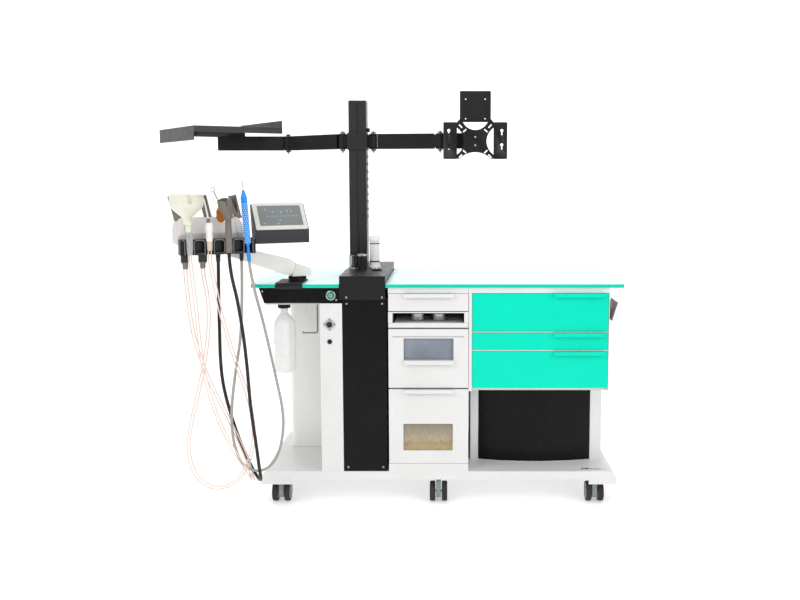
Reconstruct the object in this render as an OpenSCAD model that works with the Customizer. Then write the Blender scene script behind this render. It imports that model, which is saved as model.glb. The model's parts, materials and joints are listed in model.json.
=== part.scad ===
// Mobile treatment unit: cabinets on a castor base, glass worktop, instrument head on a
// balanced arm, and a column with two jointed monitor arms. Millimetres, +Z up.
// The drawing datum is the front plane of the cabinets, the floor, and a line near the
// middle of the worktop. placed() moves everything to the centre of the footprint.

/* [Base and castors] */
// Length of the castor base
base_w = 1346; // [1346:1:1400]
// Depth of the base, front to back
base_d = 540; // [540:1:545]
// Castor wheel diameter
wheel_d = 75; // [72:1:75]
// Width of one castor tread
tread_w = 21; // [16:1:21]

/* [Worktop] */
// Thickness of the glass worktop
glass_t = 14; // [10:1:14]
// Height of the underside of the glass
desk_z = 832; // [832:1:836]
// Depth of the worktop
desk_d = 560; // [545:1:560]

/* [Drawers] */
// Thickness of each drawer front
front_t = 18; // [12:1:18]
// Depth of each drawer box behind its front
box_d = 440; // [300:10:450]
// Length of the folded finger pull
pull_w = 186; // [120:2:186]
// How far a finger pull stands out
pull_out = 14; // [10:1:16]

/* [Column and monitor arms] */
// Width of the column
post_w = 70; // [66:1:70]
// Height of the top of the column cap
post_top = 1554; // [1500:1:1600]
// Height of the arm tubes
tube_h = 60; // [60:1:64]
// Width of the arm tubes
tube_w = 30; // [26:1:30]
// Diameter of the arm pivot bolts
bolt_d = 10; // [8:0.5:12]

/* [Monitor plate] */
// Pitch of the fixing holes
vesa_pitch = 75; // [75:1:75]
// Thickness of the plate
plate_t = 3; // [2:0.5:4]

/* [Instrument head] */
// Length of the handpiece rack
rack_w = 262; // [262:1:280]
// Spacing of the handpieces
hand_pitch = 68; // [66:1:68]
// Width of the touch display
display_w = 198; // [180:1:206]

/* [Hidden] */

// Fineness of round parts, and of the children of hulls
$fn = 64;
// Small overlap that joins two solids of one piece, and a cutter's overrun
eps = 0.01;
over = 1;
// Radial clearance of a running pin, and the gap between parts that move apart
run = 0.1;
gap = 0.5;

// Shift from the drawing datum to the centre of the footprint
origin_shift = [335, -378, 0];

// Base
base_x0 = -716;
base_x1 = base_x0 + base_w;
base_z0 = 100;
base_z1 = 132;
skirt_z = 81;
end_r = 35;
skirt_left = 117;
skirt_right = 104;
wall = 8;

// Castors: the swivel pin stands behind the wheels by the trail
castor_at = [[-646, 80], [-44, 80], [554, 80], [-646, 460], [554, 460]];
trail = 25;
stem_d = 12;
stem_top = 122;
axle_d = 8;
tread_gap = 25;

// Cabinet bays, measured from the floor
left_x0 = -230;
left_x1 = 69;
right_x0 = 70;
right_x1 = 593;
pillar_y = 145;
green_x0 = 83;
green_x1 = 589;
panel_t = 12;
shelf_t = 4;
desk_top = desk_z + glass_t;

// Column
post_x = -369;
post_y = 315;
post_depth = 75;
post_z0 = 132;
cap_h = 14;
arm_z = 1350;
arm_mid = arm_z + tube_h / 2;
ear_r = 15;
plate_r = 18;
u_t = 4;

// Monitor arm pivots, in plan
left_shoulder = [-432, 352];
left_elbow = [-695, 600];
left_wrist = [-978, 600];
right_shoulder = [-308, 352];
right_elbow = [-39, 300];
right_wrist = [98, 262];
tray_yaw = 33;
tray_size = [384, 500];
tray_corner = [-1041, 386];
tray_z = 1445;

// Monitor plate, measured from its middle
plate_y = 218;
fix_r = 2.6;
vesa_low = 83;
tilt_y = 238;

// Instrument arm: in plan it runs along the head's own X axis, backwards
head_yaw = 26;
arm_pivot = [-577, 75];
lift_at = 45;
lift_z = 906;
lift_r = 31;
knuckle_at = 255;
knuckle_z = 975;
arm_half = 24;
tongue_half = 10;

// Instrument head, in its own frame: origin at the rack's left front corner
knuckle_local = [188, 105];
rack_z0 = 969;
rack_z1 = 1023;
rack_depth = 50;
flask_at = [157, 89];
flask_floor = 1069;
hand_x0 = 31;
hand_y = 5;
display_pin = [34, 1014];

// Hose centre lines in the head's frame: along the rack, away from the front, up
hose_sides = 8;
hose_rings = 56;
twin_d = 4.6;
twin_gap = 10;
spray_hose_d = 12;
probe_hose_d = 10;
route_funnel = [
    [19, 28, 920], [19, 28, 890], [24, 25, 820], [31, 18, 740], [41, 8, 670],
    [62, 0, 590], [90, -3, 510], [125, -5, 430], [162, -5, 345], [200, -5, 250],
    [218, -6, 195], [224, -14, 162], [224, -36, 152], [216, -58, 163], [198, -66, 196],
    [155, -65, 270], [110, -65, 370], [75, -65, 480], [52, -65, 590], [43, -60, 690],
    [39, -42, 790], [35, -12, 890], [32, 3, 945], [32, 5, 972]
];
route_syringe = [
    [79, 28, 920], [80, 24, 890], [85, 0, 840], [85, -25, 760], [75, -38, 670],
    [60, -42, 590], [35, -42, 480], [10, -42, 380], [0, -42, 290], [20, -42, 205],
    [65, -42, 155], [110, -42, 142], [155, -42, 155], [200, -43, 205], [225, -45, 290],
    [225, -45, 380], [205, -45, 480], [170, -45, 590], [140, -45, 700], [122, -35, 780],
    [108, -12, 880], [100, 3, 945], [100, 5, 983]
];
route_spray = [
    [133, 28, 969], [133, 28, 920], [131, 26, 820], [130, 22, 700], [130, 18, 590],
    [137, 15, 500], [158, 15, 400], [192, 17, 285], [220, 18, 212], [236, 8, 173], [245, -19, 153],
    [246, -53, 153], [241, -80, 173], [234, -90, 212], [226, -88, 290], [210, -85, 430],
    [200, -85, 580], [190, -78, 700], [180, -48, 810], [172, -15, 880], [168, 2, 935], [167, 5, 974]
];
route_probe = [
    [216, 28, 969], [216, 28, 920], [212, 15, 850], [203, -10, 760], [192, -22, 660],
    [172, -22, 540], [157, -22, 420], [158, -22, 320], [175, -22, 245], [205, -22, 198],
    [246, -22, 177], [290, -22, 188], [325, -22, 238], [342, -22, 320], [340, -22, 400],
    [322, -22, 500], [298, -22, 620], [275, -20, 730], [255, -10, 820], [242, 2, 900], [238, 5, 939]
];

// ---------- shared shapes ----------

// Moves a piece from the drawing datum to the centre of the footprint
module placed() translate(origin_shift) children();

// A block given by its low and high corners
module block(lo, hi) translate(lo) cube(hi - lo);

// A block with rounded vertical edges
module pad(lo, hi, r)
    translate([lo[0], lo[1], lo[2]])
        linear_extrude(hi[2] - lo[2])
            rounded_outline([hi[0] - lo[0], hi[1] - lo[1]], r);

// A rectangle with rounded corners, low corner at the origin
module rounded_outline(size, r) {
    translate([r, 0]) square([size[0] - 2 * r, size[1]]);
    translate([0, r]) square([size[0], size[1] - 2 * r]);
    for (x = [r, size[0] - r], y = [r, size[1] - r]) translate([x, y]) circle(r);
}

// A cylinder along X, Y or Z that starts at a point
module rod_x(at, d, h) translate(at) rotate([0, 90, 0]) cylinder(d = d, h = h);
module rod_y(at, d, h) translate(at) rotate([-90, 0, 0]) cylinder(d = d, h = h);
module rod_z(at, d, h) translate(at) cylinder(d = d, h = h);

// Two discs of different size joined by their outer tangents, seen from the side
function turn(a) = [cos(a), sin(a)];
module tapered_bar(a, ra, b, rb, half) {
    d = norm(b - a);
    way = atan2(b[1] - a[1], b[0] - a[0]);
    lean = acos((ra - rb) / d);
    sink = 0.2;
    side_extrude(half) translate(a) circle(ra);
    side_extrude(half) translate(b) circle(rb);
    side_extrude(half - sink) polygon([
        a + (ra - sink) * turn(way + lean), b + (rb - sink) * turn(way + lean),
        b + (rb - sink) * turn(way - lean), a + (ra - sink) * turn(way - lean)
    ]);
}

// A side profile drawn with its Y as height, extruded both ways along Y
module side_extrude(half) translate([0, half, 0]) rotate([90, 0, 0]) linear_extrude(2 * half) children();

// Moves children drawn along +X at the origin so that they run from a to b in plan
module along(a, b) translate([a[0], a[1], 0]) rotate([0, 0, atan2(b[1] - a[1], b[0] - a[0])]) children();

// Moves children from the head's own frame into the drawing
module on_head()
    translate([arm_pivot[0], arm_pivot[1], 0])
        rotate([0, 0, head_yaw])
            translate([-knuckle_at - knuckle_local[0], -knuckle_local[1], 0])
                children();

// Moves children drawn with +X from the arm pivot towards the head into the drawing
module on_arm() translate([arm_pivot[0], arm_pivot[1], 0]) rotate([0, 0, head_yaw + 180]) children();

// ---------- base and castors ----------

module end_profile(width) intersection() {
    translate([0, skirt_z]) square([width, base_z1 - skirt_z]);
    union() {
        translate([end_r, base_z1 - end_r]) circle(end_r);
        square([width, base_z1 - end_r]);
        translate([end_r, 0]) square([width - end_r, base_z1]);
    }
}

module base_frame() color("white") placed() difference() {
    translate([0, base_d, 0]) rotate([90, 0, 0]) linear_extrude(base_d) {
        translate([base_x0, 0]) end_profile(skirt_left);
        translate([base_x1, 0]) mirror([1, 0]) end_profile(skirt_right);
        translate([base_x0 + end_r, base_z0]) square([base_w - 2 * end_r, base_z1 - base_z0]);
    }
    block([base_x0 + wall, wall, skirt_z - over], [base_x0 + skirt_left + over, base_d - wall, base_z0]);
    block([base_x1 - skirt_right - over, wall, skirt_z - over], [base_x1 - wall, base_d - wall, base_z0]);
    for (p = castor_at) rod_z([p[0], p[1], base_z0 - over], stem_d + 2 * run, stem_top - base_z0 + over + gap);
}

// Fork of one castor: swivel pin, cap and the web between the wheels
module castor_fork(i) color("darkgray") placed() translate([castor_at[i][0], castor_at[i][1], 0]) difference() {
    union() {
        rod_z([0, 0, 90], stem_d, stem_top - 90);
        rod_z([0, 0, base_z0 - 6 - gap], 44, 6);
        block([-10, -trail - 12, 28], [10, 12, base_z0 - 6]);
        translate([0, -trail, wheel_d / 2]) rotate([0, 90, 0]) cylinder(d = 44, h = 20, center = true);
    }
    rod_x([-20, -trail, wheel_d / 2], axle_d + 2 * run, 40);
}

// Pair of wheels of one castor on their axle
module castor_wheels(i) color("dimgray") placed()
    translate([castor_at[i][0], castor_at[i][1] - trail, wheel_d / 2]) {
        rotate([0, 90, 0]) cylinder(d = axle_d, h = tread_gap + 2, center = true);
        for (side = [-1, 1]) translate([side * (tread_gap + tread_w) / 2, 0, 0]) rotate([0, 90, 0])
            rotate_extrude() polygon([
                [0, -tread_w / 2], [wheel_d / 2 - 4, -tread_w / 2], [wheel_d / 2, -tread_w / 2 + 4],
                [wheel_d / 2, tread_w / 2 - 4], [wheel_d / 2 - 4, tread_w / 2], [0, tread_w / 2]
            ]);
    }

// ---------- cabinets ----------

module carcass_left() color("white") placed() difference() {
    union() {
        difference() {
            block([left_x0, front_t + 1, base_z1], [left_x1, base_d - 10, desk_z]);
            block([left_x0 + panel_t, 0, 144], [left_x1 - panel_t, base_d - 10 - panel_t, 818]);
        }
        block([left_x0, 0, 811], [left_x1, front_t + 1 + eps, desk_z]);
        block([left_x0, 0, base_z1], [left_x1, front_t + 1 + eps, 162]);
        block([left_x0, 0, 700], [-214, front_t + 1 + eps, 741]);
        block([53, 0, 700], [left_x1, front_t + 1 + eps, 741]);
        for (z = [737, 677, 449])
            block([left_x0 + eps, z == 737 ? 0 : front_t + 1, z], [left_x1 - eps, base_d - 20, z + shelf_t]);
    }
}

module carcass_right() color("white") placed() {
    difference() {
        block([right_x0, front_t + 1, 441], [right_x1, base_d - 10, desk_z]);
        block([green_x0, 0, 453], [right_x1 - panel_t, base_d - 10 - panel_t, 818]);
    }
    block([right_x0, 0, 812], [right_x1, front_t + 1 + eps, desk_z]);
    block([right_x0, 0, 441], [green_x0 - 1.5, front_t + 1 + eps, 812 + eps]);
    block([590.5, 0, 441], [right_x1, front_t + 1 + eps, 812 + eps]);
    for (z = [663.5, 593.5]) block([green_x0 - 2, 2, z], [591, front_t + 30, z + 3.5]);
    block([80, pillar_y, base_z1], [110, base_d - 10, 441 + eps]);
    block([549, pillar_y, base_z1], [right_x1, base_d - 10, 441 + eps]);
}

// Bowed panel that closes the lower right bay
module bay_panel() color("black") placed() {
    bow_r = 830;
    middle = 329.5;
    half = 219;
    intersection() {
        translate([middle, 116 + bow_r, 134]) difference() {
            cylinder(r = bow_r, h = 304, $fn = 200);
            translate([0, 0, -over]) cylinder(r = bow_r - 4, h = 310, $fn = 200);
        }
        block([middle - half, 100, 130], [middle + half, 170, 440]);
    }
}

// Folded finger pull along the top edge of a front: x0, width, top edge
module finger_pull(x0, w, z1) {
    block([x0, -pull_out, z1 - 3], [x0 + w, eps, z1]);
    block([x0, -pull_out, z1 - 14], [x0 + w, -pull_out + 3, z1]);
}

// Open-topped drawer box behind a front
module drawer_box(x0, x1, z0, z1) difference() {
    block([x0, front_t - eps, z0], [x1, front_t + box_d, z1]);
    block([x0 + 3, front_t + 2, z0 + 3], [x1 - 3, front_t + box_d - 3, z1 + over]);
}

module top_drawer() color("white") placed() {
    block([left_x0 + gap, 0, 744], [left_x1 - gap, front_t, 809.5]);
    finger_pull(-171, pull_w, 809.5);
    drawer_box(-208, 47, 748, 800);
}

// Pull-out shelf in the niche, with two bowls standing in it
module niche_tray() {
    color("white") placed() {
        block([left_x0 + gap, 0, 682], [left_x1 - gap, front_t, 699]);
        block([-208, front_t - eps, 690], [47, front_t + 380, 696]);
    }
    color("silver") placed() for (x = [-122, -41]) translate([x, 80, 696 - eps]) difference() {
        cylinder(d = 54, h = 30);
        translate([0, 0, 3]) cylinder(d = 50, h = 30);
    }
}

// Waste drawer: its window is closed by a flap that swings inwards
window_x = [-173, 13];
flap_z = [559, 641];
module mid_drawer() color("white") placed() {
    difference() {
        block([left_x0 + gap, 0, 454], [left_x1 - gap, front_t, 676]);
        block([window_x[0], -over, flap_z[0]], [window_x[1], front_t + over, flap_z[1]]);
        block([-214, -over, 645], [53, 5, 650]);
        rod_x([window_x[0] - 4, 12, flap_z[1] - 4], 3 + 2 * run, 194);
    }
    finger_pull(-171, pull_w, flap_z[0] - 1);
    drawer_box(-208, 47, 460, 540);
}

module drop_flap() color("lightsteelblue") placed() {
    block([window_x[0] + gap, 10.5, flap_z[0] + gap], [window_x[1] - gap, 13.5, flap_z[1] - 4]);
    rod_x([window_x[0] + gap, 12, flap_z[1] - 4], 5, 185);
    rod_x([window_x[0] - 3, 12, flap_z[1] - 4], 3, 192);
}

// Drawer with a framed window and its pane
module bottom_drawer() {
    color("white") placed() {
        difference() {
            block([left_x0 + gap, 0, 163], [left_x1 - gap, front_t, 448]);
            pad_y([-176, -over, 212], [11, front_t + over, 316], 6);
        }
        finger_pull(-171, pull_w, 448);
        drawer_box(-208, 47, 170, 430);
    }
    color("tan") placed() block([-180, front_t - 8, 208], [15, front_t - 5, 320]);
}

// A block with rounded edges along Y
module pad_y(lo, hi, r)
    translate([lo[0], hi[1], lo[2]]) rotate([90, 0, 0])
        linear_extrude(hi[1] - lo[1]) rounded_outline([hi[0] - lo[0], hi[2] - lo[2]], r);

// Green fronts: low edge, high edge, height of the box
green_z = [[669, 810.5, 110], [598, 662, 46], [453, 592, 110]];
module green_drawer(i) color([0, 0.86, 0.67]) placed() {
    block([green_x0, 0, green_z[i][0]], [green_x1, front_t, green_z[i][1]]);
    finger_pull(385, 190, green_z[i][1]);
    drawer_box(104, 568, green_z[i][0] + 6, green_z[i][0] + 6 + green_z[i][2]);
}

// ---------- worktop, covers and fittings ----------

module worktop_left() color([0.75, 0.97, 0.92]) placed()
    pad([-736, -10, desk_z], [-411, -10 + desk_d, desk_top], 5);

module worktop_right() color([0.75, 0.97, 0.92]) placed()
    pad([-239, -10, desk_z], [644, -10 + desk_d, desk_top], 5);

// Black fascia under the left worktop, with the bore of the power button and the bottle's cap
button_at = [-442, 803];
bottle_at = [-634, 100];
module front_fascia() color("black") placed() {
    difference() {
        union() {
            translate([0, 14, 0]) rotate([90, 0, 0]) linear_extrude(14)
                polygon([[-709, desk_z], [-690, 774], [-411, 774], [-411, desk_z]]);
            rod_y([button_at[0], -3, button_at[1]], 36, 4);
        }
        rod_y([button_at[0], -10, button_at[1]], 24 + 2 * run, 22);
    }
    difference() {
        rod_z([bottle_at[0], bottle_at[1], 742], 46, 24);
        rod_z([bottle_at[0], bottle_at[1], 742 - over], 31, 20);
    }
}

module column_cover() color("black") placed() difference() {
    union() {
        block([-400, 0, 134], [-236, 310, 786]);
        block([-330, 310 - eps, 134], [-236, 530, 786]);
    }
    block([-397, 3, 133], [-333, 311, 787]);
    block([-334, 3, 133], [-239, 527, 787]);
}

// Hood over the top of the column cover, with sockets for the two loose cups
quiver_at = [-389, 281];
cup_at = [-302, 290];
module cover_hood() color("black") placed() {
    difference() {
        block([-410, -6, 786], [-240, 550, 875]);
        block([-407, -3, 786 - over], [-243, 547, 872]);
        block([post_x - post_w / 2 - gap, post_y - gap, 860], [post_x + post_w / 2 + gap, post_y + post_depth + gap, 880]);
        rod_z([quiver_at[0], quiver_at[1], 860], 30 + 2 * run, 20);
        rod_z([cup_at[0], cup_at[1], 860], 40 + 2 * run, 20);
    }
    for (p = [[quiver_at, 30, 36], [cup_at, 40, 46]]) translate([p[0][0], p[0][1], 830]) difference() {
        cylinder(d = p[2], h = 42 + eps);
        translate([0, 0, 3]) cylinder(d = p[1] + 2 * run, h = 50);
    }
    translate([-349, 262, 875 - eps]) difference() {
        cylinder(d = 36, h = 58);
        translate([0, 0, 4]) cylinder(d = 31, h = 60);
    }
    translate([-285, 199, 875 - eps]) difference() {
        cylinder(d = 39, h = 5);
        translate([0, 0, -over]) cylinder(d = 27, h = 10);
    }
}

// Open-backed box that carries the inlet, and the beam that holds up the left worktop
module service_box() color("white") placed() {
    difference() {
        block([-484, 0, base_z1], [-401, 305, 773]);
        block([-482, 2, base_z1 - over], [-403, 306, 771]);
    }
    difference() {
        block([-690, 15, 766], [-412, 305, desk_z]);
        block([-687, 18, 769], [-412 + over, 302, desk_z - 3]);
    }
}

module pump_cover() color("white") placed() difference() {
    pad([-651, 310, base_z1], [-410, 530, desk_z], 18);
    pad([-648, 313, base_z1 - over], [-413, 527, desk_z - 3], 16);
}

// Column extrusion with a groove down its front, and its cap
module column_post() {
    color("dimgray") placed() difference() {
        block([post_x - post_w / 2, post_y, post_z0], [post_x + post_w / 2, post_y + post_depth, post_top - cap_h]);
        block([post_x - 29, post_y + 9, post_z0 - over], [post_x + 29, post_y + post_depth - 6, post_top]);
        block([post_x - 5, post_y - over, post_z0 - over], [post_x + 5, post_y + 5, post_top]);
    }
    color("beige") placed()
        pad([post_x - 30, post_y + 4, post_top - cap_h - eps], [post_x + 30, post_y + post_depth - 4, post_top], 8);
}

// Collar clamped round the column, with an ear for each monitor arm
module arm_collar() color("black") placed() difference() {
    union() {
        block([post_x - 40, post_y - 7, arm_z - 4], [post_x + 38, post_y + post_depth + 7, arm_z + tube_h + 4]);
        for (p = [left_shoulder, right_shoulder]) {
            rod_z([p[0], p[1], arm_z + u_t + gap], 2 * ear_r, tube_h - 2 * u_t - 2 * gap);
            block([min(p[0], post_x), p[1] - ear_r, arm_z + u_t + gap],
                  [max(p[0], post_x), p[1] + ear_r, arm_z + tube_h - u_t - gap]);
        }
    }
    block([post_x - post_w / 2, post_y, arm_z - 10], [post_x + post_w / 2, post_y + post_depth, arm_z + tube_h + 10]);
    for (p = [left_shoulder, right_shoulder]) rod_z([p[0], p[1], arm_z], bolt_d + 2 * run, tube_h);
}

// Cover screws, the row of bolts up the column, and its clamp knob
module fasteners() color("silver") placed() {
    for (x = [-696, -422]) rod_y([x, -2, x < -600 ? 818 : 786], 8, 2);
    for (x = [-384, -252], z = [148, 772]) rod_y([x, -2, z], 8, 2);
    for (z = [1080 : 30 : 1320]) rod_x([post_x + post_w / 2, post_y + 40, z], 10, 5);
    rod_x([post_x + post_w / 2, post_y + 30, 1425], 16, 12);
    for (x = [-384, -252]) rod_y([x, -8, 796], 7, 2);
}

// Inlet socket, fuse cap, instrument hook and the side handle
module wall_fittings() color("silver") placed() {
    translate([-448, 0, 694]) rotate([0, 45, 0]) block([-17, -3, -17], [17, 0, 17]);
    difference() {
        rod_y([-448, -7, 694], 31, 5);
        rod_y([-448, -8, 694], 22, 4);
    }
    rod_y([-448, -5, 629], 18, 5);
    rod_z([-501, 60, 652], 6, 114);
    rod_x([-556, 60, 652], 6, 55);
    translate([-501, 60, 652]) sphere(d = 6);
    translate([-556, 60, 652]) sphere(d = 6);
    translate([603, 25, 704]) rotate([0, 17, 0]) block([0, 0, 0], [5, 130, 73]);
    block([593, 60, 712], [607, 75, 722]);
    block([593, 110, 712], [607, 125, 722]);
}

module power_button() color("green") placed() rod_y([button_at[0], -5, button_at[1]], 24, 13);

// Bottle that hangs by its neck in the cap, hollow and open at the top
module bottle() color("whitesmoke") placed() translate([bottle_at[0], bottle_at[1], 0])
    rotate_extrude() polygon([
        [0, 492], [36, 492], [43, 500], [43, 694], [15, 729], [15, 758],
        [12, 758], [12, 727], [40, 692], [40, 502], [35, 495], [0, 495]
    ]);

// Loose steel quiver and tall cup that lift out of the hood
module steel_quiver() color("silver") placed() translate([quiver_at[0], quiver_at[1], 834]) difference() {
    cylinder(d = 30, h = 93);
    translate([0, 0, 2]) cylinder(d = 27, h = 100);
}

module tall_cup() color("white") placed() translate([cup_at[0], cup_at[1], 834]) difference() {
    union() {
        cylinder(d = 40, h = 169);
        translate([0, 0, 42]) cylinder(d = 48, h = 8);
        translate([0, 0, 150]) cylinder(d = 44, h = 19);
    }
    translate([0, 0, 3]) cylinder(d = 35, h = 200);
}

// ---------- monitor arms ----------

// One arm link along +X: a U-bracket with its bolt at the start, an ear at the end
module link(length, ear) {
    tube_start = 20;
    tube_end = length - (ear ? 25 : -17);
    difference() {
        union() {
            difference() {
                block([tube_start, -tube_w / 2, arm_z], [tube_end, tube_w / 2, arm_z + tube_h]);
                block([tube_start + 4, -tube_w / 2 + 3, arm_z + 3], [tube_end - 4, tube_w / 2 - 3, arm_z + tube_h - 3]);
            }
            for (z = [arm_z, arm_z + tube_h - u_t]) {
                rod_z([0, 0, z], 2 * plate_r, u_t);
                block([0, -tube_w / 2, z], [tube_start + 4, tube_w / 2, z + u_t]);
            }
            if (ear) {
                rod_z([length, 0, arm_z + u_t + gap], 2 * ear_r, tube_h - 2 * u_t - 2 * gap);
                block([tube_end - eps, -ear_r, arm_z + u_t + gap], [length, ear_r, arm_z + tube_h - u_t - gap]);
            } else {
                rod_z([length, 0, arm_z + 1.5], 28, tube_h - 3);
            }
        }
        rod_z([length, 0, ear ? arm_z : arm_z + 20], bolt_d + 2 * run, tube_h + 10);
    }
    rod_z([0, 0, arm_z - 8], bolt_d, tube_h + 16);
    for (z = [arm_z - 7, arm_z + tube_h - eps]) translate([0, 0, z]) cylinder(d = 19, h = 7, $fn = 6);
}

module left_link_1() color([0.12, 0.12, 0.13]) placed()
    along(left_shoulder, left_elbow) link(norm(left_elbow - left_shoulder), true);
module left_link_2() color([0.12, 0.12, 0.13]) placed()
    along(left_elbow, left_wrist) link(norm(left_wrist - left_elbow), false);
module right_link_1() color([0.12, 0.12, 0.13]) placed()
    along(right_shoulder, right_elbow) link(norm(right_elbow - right_shoulder), true);
module right_link_2() color([0.12, 0.12, 0.13]) placed()
    along(right_elbow, right_wrist) link(norm(right_wrist - right_elbow), true);

// Level tray with a folded edge on every side, on a channel with a pivot pin
module side_tray() color([0.28, 0.28, 0.3]) placed() {
    translate([tray_corner[0], tray_corner[1], 0]) rotate([0, 0, tray_yaw]) {
        block([0, 0, tray_z], [tray_size[0], tray_size[1], tray_z + 2]);
        block([0, 0, 1421], [tray_size[0], 2, tray_z + eps]);
        block([0, 0, 1388], [2, tray_size[1], tray_z + eps]);
        block([tray_size[0] - 2, 0, tray_z], [tray_size[0], tray_size[1], 1477]);
        block([0, tray_size[1] - 2, 1421], [tray_size[0], tray_size[1], tray_z + eps]);
    }
    translate([left_wrist[0], left_wrist[1], 0]) rotate([0, 0, tray_yaw]) difference() {
        block([-110, -20, arm_z + tube_h + 1], [95, 20, tray_z + eps]);
        block([-107, -17, arm_z + tube_h], [92, 17, tray_z - 3]);
    }
    rod_z([left_wrist[0], left_wrist[1], arm_z + tube_h + 1], 34, tray_z - arm_z - tube_h - 1);
    rod_z([left_wrist[0], left_wrist[1], arm_z + 30], bolt_d, tray_z - arm_z - 30);
}

// Tilt head: U-bracket round the last ear, and the cross pin of the plate
module tilt_head() color([0.12, 0.12, 0.13]) placed() translate([right_wrist[0], right_wrist[1], 0]) {
    for (z = [arm_z, arm_z + tube_h - u_t]) {
        rod_z([0, 0, z], 2 * plate_r, u_t);
        block([-plate_r, -20, z], [plate_r, 0, z + u_t]);
    }
    block([-plate_r, -21, arm_z], [plate_r, -17, arm_z + tube_h]);
    rod_z([0, 0, arm_z - 8], bolt_d, tube_h + 16);
    for (z = [arm_z - 7, arm_z + tube_h - eps]) translate([0, 0, z]) cylinder(d = 19, h = 7, $fn = 6);
    rod_x([-plate_r, tilt_y - right_wrist[1], arm_mid], 16, 2 * plate_r);
    rod_x([-plate_r - 8, tilt_y - right_wrist[1], arm_mid], 8, 2 * plate_r + 16);
}

// Outline of the monitor plate: two wings with keyholes, a pierced middle and a square top plate
module plate_outline() {
    difference() {
        union() {
            for (side = [-1, 1]) translate([side * 98 - 26, -72]) rounded_outline([52, 142], 4);
            translate([-80, -71]) square([160, 131]);
            translate([-60, 46]) rounded_outline([120, 143], 4);
            polygon([[-77, 50], [-77, 69], [-72, 69], [-59, 83], [59, 83], [72, 69], [77, 69], [77, 50]]);
        }
        for (side = [-1, 1]) {
            translate([side * 71, -3]) rotate(-90 * side) segment(103, 27);
            for (z = [-17, 38]) translate([side * 103, z]) circle(6);
            for (z = [-17, 38]) translate([side * 103, z - 9]) square([2 * fix_r, 18], center = true);
        }
        translate([0, 70]) segment(96, 30);
        translate([0, -130]) circle(84.7);
        for (x = [-1, 1], z = [-1, 1]) {
            translate([x * 57, z * 57.5 - 3]) rotate(x * z * 46) square([17, 2 * fix_r], center = true);
            translate([x * 41, z * 40.5 - 3]) rotate(-x * z * 42) square([16, 2 * fix_r], center = true);
        }
        for (x = [-1, 1], z = [0, 1]) translate([x * vesa_pitch / 2, vesa_low + z * vesa_pitch]) circle(fix_r);
    }
}

// The part of a circle below a chord on the X axis
module segment(chord, depth) {
    r = (chord * chord / 4 + depth * depth) / (2 * depth);
    intersection() {
        translate([0, r - depth]) circle(r);
        translate([-chord, -2 * depth]) square([2 * chord, 2 * depth]);
    }
}

module monitor_plate() color([0.1, 0.1, 0.11]) placed() translate([right_wrist[0], 0, arm_mid]) {
    translate([0, plate_y + plate_t, 0]) rotate([90, 0, 0]) linear_extrude(plate_t) plate_outline();
    for (side = [-1, 1]) difference() {
        union() {
            rod_x([side * (plate_r + 3.5) - 2.5, tilt_y, 0], 18, 5);
            block([side * (plate_r + 3.5) - 2.5, plate_y + plate_t - eps, -9], [side * (plate_r + 3.5) + 2.5, tilt_y, 9]);
        }
        rod_x([side * (plate_r + 3.5) - 5, tilt_y, 0], 8 + 2 * run, 10);
    }
}

// ---------- instrument arm ----------

module arm_base() color("black") placed() {
    pad([-645, -14, desk_top], [-545, 130, desk_top + 4], 4);
    block([-645, -14, desk_z - 4], [-545, -10, desk_top + eps]);
    rod_z([arm_pivot[0], arm_pivot[1], desk_top + 4 - eps], 64, 18);
    rod_z([arm_pivot[0], arm_pivot[1], desk_top + 4], 20, 38);
}

// Turning hub: bored block that carries on the line of the arm, with a tongue for the lift pin
module arm_hub() color("white") placed() on_arm() difference() {
    union() {
        difference() {
            side_extrude(arm_half) polygon([[-47, 868 + gap], [-47, 898], [24, 924], [24, 868 + gap]]);
            translate([lift_at, 0, lift_z]) side_extrude(arm_half + over) circle(lift_r + 1);
        }
        block([5, -tongue_half, lift_z - 13], [lift_at, tongue_half, lift_z + 6]);
        translate([lift_at, 0, lift_z]) side_extrude(tongue_half) circle(16);
        translate([lift_at, 0, lift_z]) side_extrude(arm_half) circle(5);
    }
    rod_z([0, 0, 860], 20 + 2 * run, 30);
}

// Tapered balance arm, slotted at both ends
module balance_arm() color("white") placed() on_arm() difference() {
    tapered_bar([lift_at, lift_z], lift_r, [knuckle_at, knuckle_z], 20, arm_half);
    block([lift_at - 40, -tongue_half - 0.3, lift_z - 50], [lift_at + 22, tongue_half + 0.3, lift_z + 60]);
    block([knuckle_at - 36, -tongue_half - 0.3, knuckle_z - 60], [knuckle_at + 30, tongue_half + 0.3, knuckle_z + 60]);
    translate([lift_at, 0, lift_z]) side_extrude(arm_half + over) circle(5 + run);
    translate([knuckle_at, 0, knuckle_z]) side_extrude(arm_half + over) circle(5 + run);
}

// Levelling knuckle: cross pin, boss and the upright spigot of the head
module arm_knuckle() color("gray") placed() on_arm() translate([knuckle_at, 0, 0]) {
    translate([0, 0, knuckle_z]) side_extrude(tongue_half) circle(17);
    translate([0, 0, knuckle_z]) side_extrude(arm_half) circle(5);
    rod_z([0, 0, knuckle_z], 18, 44);
    rod_z([0, 0, 997], 36, 5.5);
}

// ---------- instrument head ----------

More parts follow.
